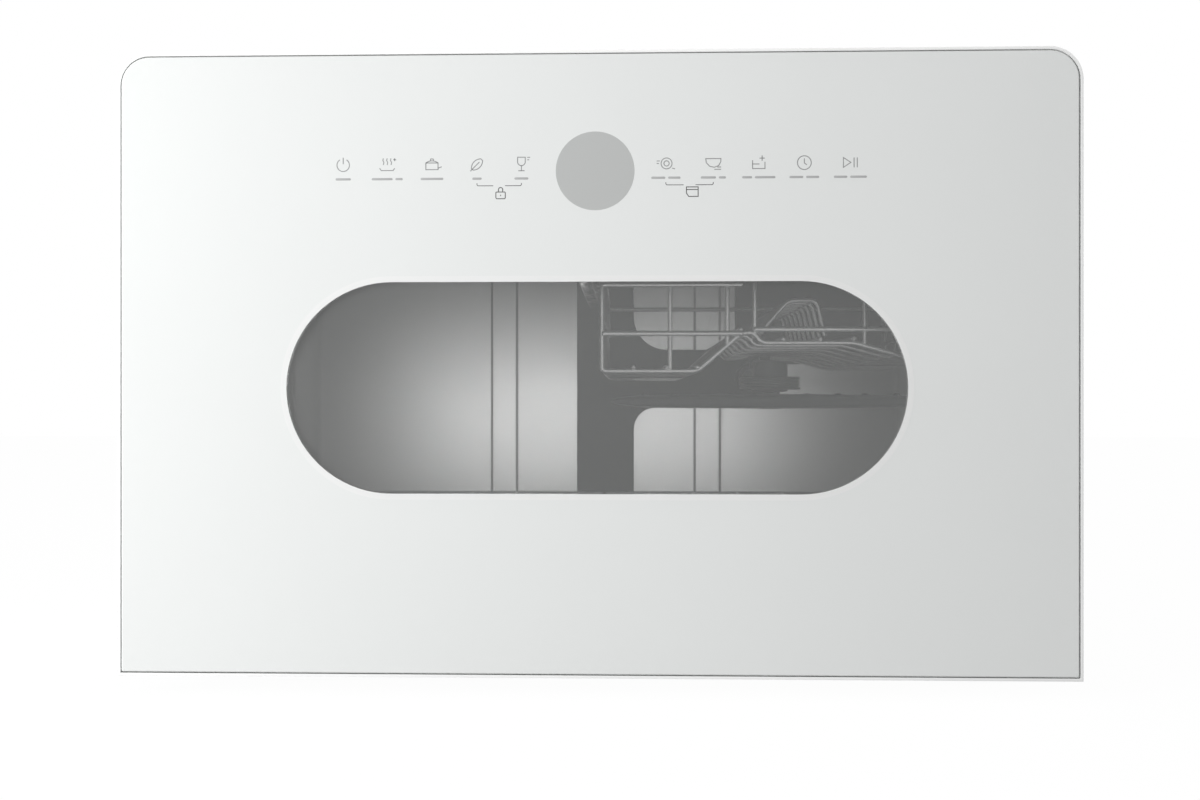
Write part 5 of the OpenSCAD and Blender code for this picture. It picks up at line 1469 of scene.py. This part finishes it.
@dataclass
class Works:
    """The pumps, heater, hoses, springs and small parts inside the casing."""

    spring_x: float = 264.2
    spring_z: float = 69.0
    front: float = -149.8
    back: float = -28.2
    turns: int = 14
    coil: float = 4.2

    def build(self) -> None:
        """Makes every piece of the works."""
        moving = ("pump_impeller", "drain_impeller", "float", "spring_rods")
        for node, look, edge in (("sump", Look.GREY, 0.7), ("wash_pump", Look.MOTOR, 0.6),
                                 ("pump_impeller", Look.PALE, 0.3), ("flow_heater", Look.BRIGHT, 0.4),
                                 ("drain_pump", Look.DARK, 0.5), ("drain_impeller", Look.PALE, 0.25),
                                 ("air_breaker", Look.PALE, 0.6), ("softener", Look.PALE, 0.7),
                                 ("float", Look.PALE, 0.4), ("power_box", Look.GREY, 0.6),
                                 ("spring_rods", Look.PLATED, 0.3), ("riser_hose", Look.RUBBER, 0.3),
                                 ("drain_hose", Look.SEAL, 0.3), ("fill_hose", Look.PALE, 0.2)):
            softened(node, look, node if node in moving else "cabinet", edge)
        self.make_springs()

    def make_springs(self) -> None:
        """Both counterbalance springs, which on the machine stretch with the rods: a round wire on a helix,
        fixed in place here.
        """
        turn = np.linspace(0, self.turns * 2 * np.pi, self.turns * 20 + 1)
        along = np.linspace(self.front + 5.6, self.back - 5.6, len(turn))
        for side, name in ((-1, "left"), (1, "right")):
            x = side * self.spring_x + self.coil * np.cos(turn)
            path = np.column_stack([x, along, self.spring_z + self.coil * np.sin(turn)])
            coil = tube(path, 0.9, 8, (0, 1, 0.001), tip=0.3)
            spring = place(f"door_spring_{name}", Solid().capped(coil), Look.PLATED, "",
                           ["door_springs"] if side < 0 else [])
            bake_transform(spring)


# ---- The picture ----


@dataclass
class Studio:
    """Camera, lights and the white ground."""

    eye: tuple = (0.018, -1.130, 0.1686)
    turn: float = 2.1
    lens: float = 46.4
    shift: float = 0.025
    room: float = 0.44
    key_at: tuple = (-1.274, -1.264, 0.469)
    key_aim: tuple = (-0.42, -0.25, 0.29)
    key_size: tuple = (0.96, 0.96)
    key_watts: float = 28.5
    glow_at: tuple = (-0.015, -0.10, 0.155)
    glow_aim: tuple = (-0.015, 0.195, 0.155)
    glow_size: tuple = (0.30, 0.09)
    glow_watts: float = 0.118
    glow_angle: float = 45.0

    def build(self) -> None:
        """Sets the whole picture up."""
        scene = bpy.context.scene
        scene.view_settings.view_transform = "Standard"
        self.make_camera(scene)
        self.make_world(scene)
        self.make_ground()
        key = self.make_light("key_panel", self.key_at, self.key_aim, self.key_watts, self.key_size)
        key.visible_glossy = False
        glow = self.make_light("tub_lamp", self.glow_at, self.glow_aim, self.glow_watts, self.glow_size)
        glow.visible_camera = False
        glow.data.spread = math.radians(self.glow_angle)

    def make_camera(self, scene: bpy.types.Scene) -> None:
        """A level camera a little right of the middle, turned a little to the left."""
        data = bpy.data.cameras.new("camera")
        data.lens = self.lens
        data.shift_x = self.shift
        camera = bpy.data.objects.new("camera", data)
        camera.location = self.eye
        camera.rotation_euler = (math.radians(90), 0, math.radians(self.turn))
        scene.collection.objects.link(camera)
        scene.camera = camera

    def make_world(self, scene: bpy.types.Scene) -> None:
        """White where the camera or a reflection looks past the machine, dimmer for the light it gives."""
        world = bpy.data.worlds.new("white_room")
        world.use_nodes = True
        tree = world.node_tree
        tree.nodes.clear()
        path = tree.nodes.new("ShaderNodeLightPath")
        level = tree.nodes.new("ShaderNodeMapRange")
        level.inputs[3].default_value = self.room
        level.inputs[4].default_value = 1.0
        background = tree.nodes.new("ShaderNodeBackground")
        background.inputs["Color"].default_value = (1, 1, 1, 1)
        out = tree.nodes.new("ShaderNodeOutputWorld")
        sharp = tree.nodes.new("ShaderNodeMath")
        sharp.operation = "MAXIMUM"
        tree.links.new(path.outputs["Is Camera Ray"], sharp.inputs[0])
        tree.links.new(path.outputs["Is Glossy Ray"], sharp.inputs[1])
        tree.links.new(sharp.outputs[0], level.inputs[0])
        tree.links.new(level.outputs[0], background.inputs["Strength"])
        tree.links.new(background.outputs[0], out.inputs["Surface"])
        scene.world = world

    def make_ground(self) -> None:
        """A white ground that stays out of the part."""
        mesh = bpy.data.meshes.new("ground")
        corners = [(x, y, -0.0005) for x, y in ((-6, -6), (6, -6), (6, 6), (-6, 6))]
        mesh.from_pydata(corners, [], [(0, 1, 2, 3)])
        ground = bpy.data.objects.new("ground", mesh)
        bench = Bench("ground_white")
        path = bench.node("LightPath")
        seen = bench.signal(path, "Is Camera Ray") + bench.signal(path, "Is Glossy Ray")
        lit = bench.node("BsdfDiffuse", sockets={"Color": (0.45, 0.45, 0.45, 1)})
        pale = bench.node("Emission", sockets={"Color": (1, 1, 1, 1), "Strength": 1.06})
        both = bench.node("MixShader", sockets={0: seen * 0.92, 1: bench.signal(lit), 2: bench.signal(pale)})
        out = bench.node("OutputMaterial", sockets={"Surface": bench.signal(both)})
        out.is_active_output = True
        mesh.materials.append(bench.material)
        bpy.context.scene.collection.objects.link(ground)

    def make_light(self, name: str, spot: Sequence[float], aim: Sequence[float], watts: float,
                   size: tuple) -> bpy.types.Object:
        """Adds a rectangular area light.

        Args:
            name: its name.
            spot: where it stands, in metres.
            aim: the point that it faces.
            watts: its power.
            size: its width and height.

        Returns:
            The lamp's object.
        """
        data = bpy.data.lights.new(name, "AREA")
        data.energy = watts
        data.shape = "RECTANGLE"
        data.size, data.size_y = size
        lamp = bpy.data.objects.new(name, data)
        lamp.location = spot
        x, y, z = np.array(aim) - np.array(spot)
        lamp.rotation_euler = (math.atan2(math.hypot(x, y), -z), 0, math.atan2(x, -y) + math.pi)
        bpy.context.scene.collection.objects.link(lamp)
        return lamp

    @staticmethod
    def aim_glow() -> None:
        """Lets the lamp in the tub light and be stopped by the tub's wall alone."""
        group = bpy.data.collections.new("glow_on")
        group.objects.link(bpy.data.objects["tub_shell"])
        links = bpy.data.objects["tub_lamp"].light_linking
        links.receiver_collection = group
        links.blocker_collection = group


def main() -> None:
    """Builds the picture, then the machine's sub-assemblies in order."""
    logging.basicConfig(level=logging.INFO, format="%(name)s: %(message)s")
    studio = Studio()
    studio.build()
    for part in (Door(), Tub(), Racks(), Casing(), Works()):
        LOG.info("building the %s", type(part).__name__.lower())
        part.build()
    studio.aim_glow()


if __name__ == "__main__":
    main()
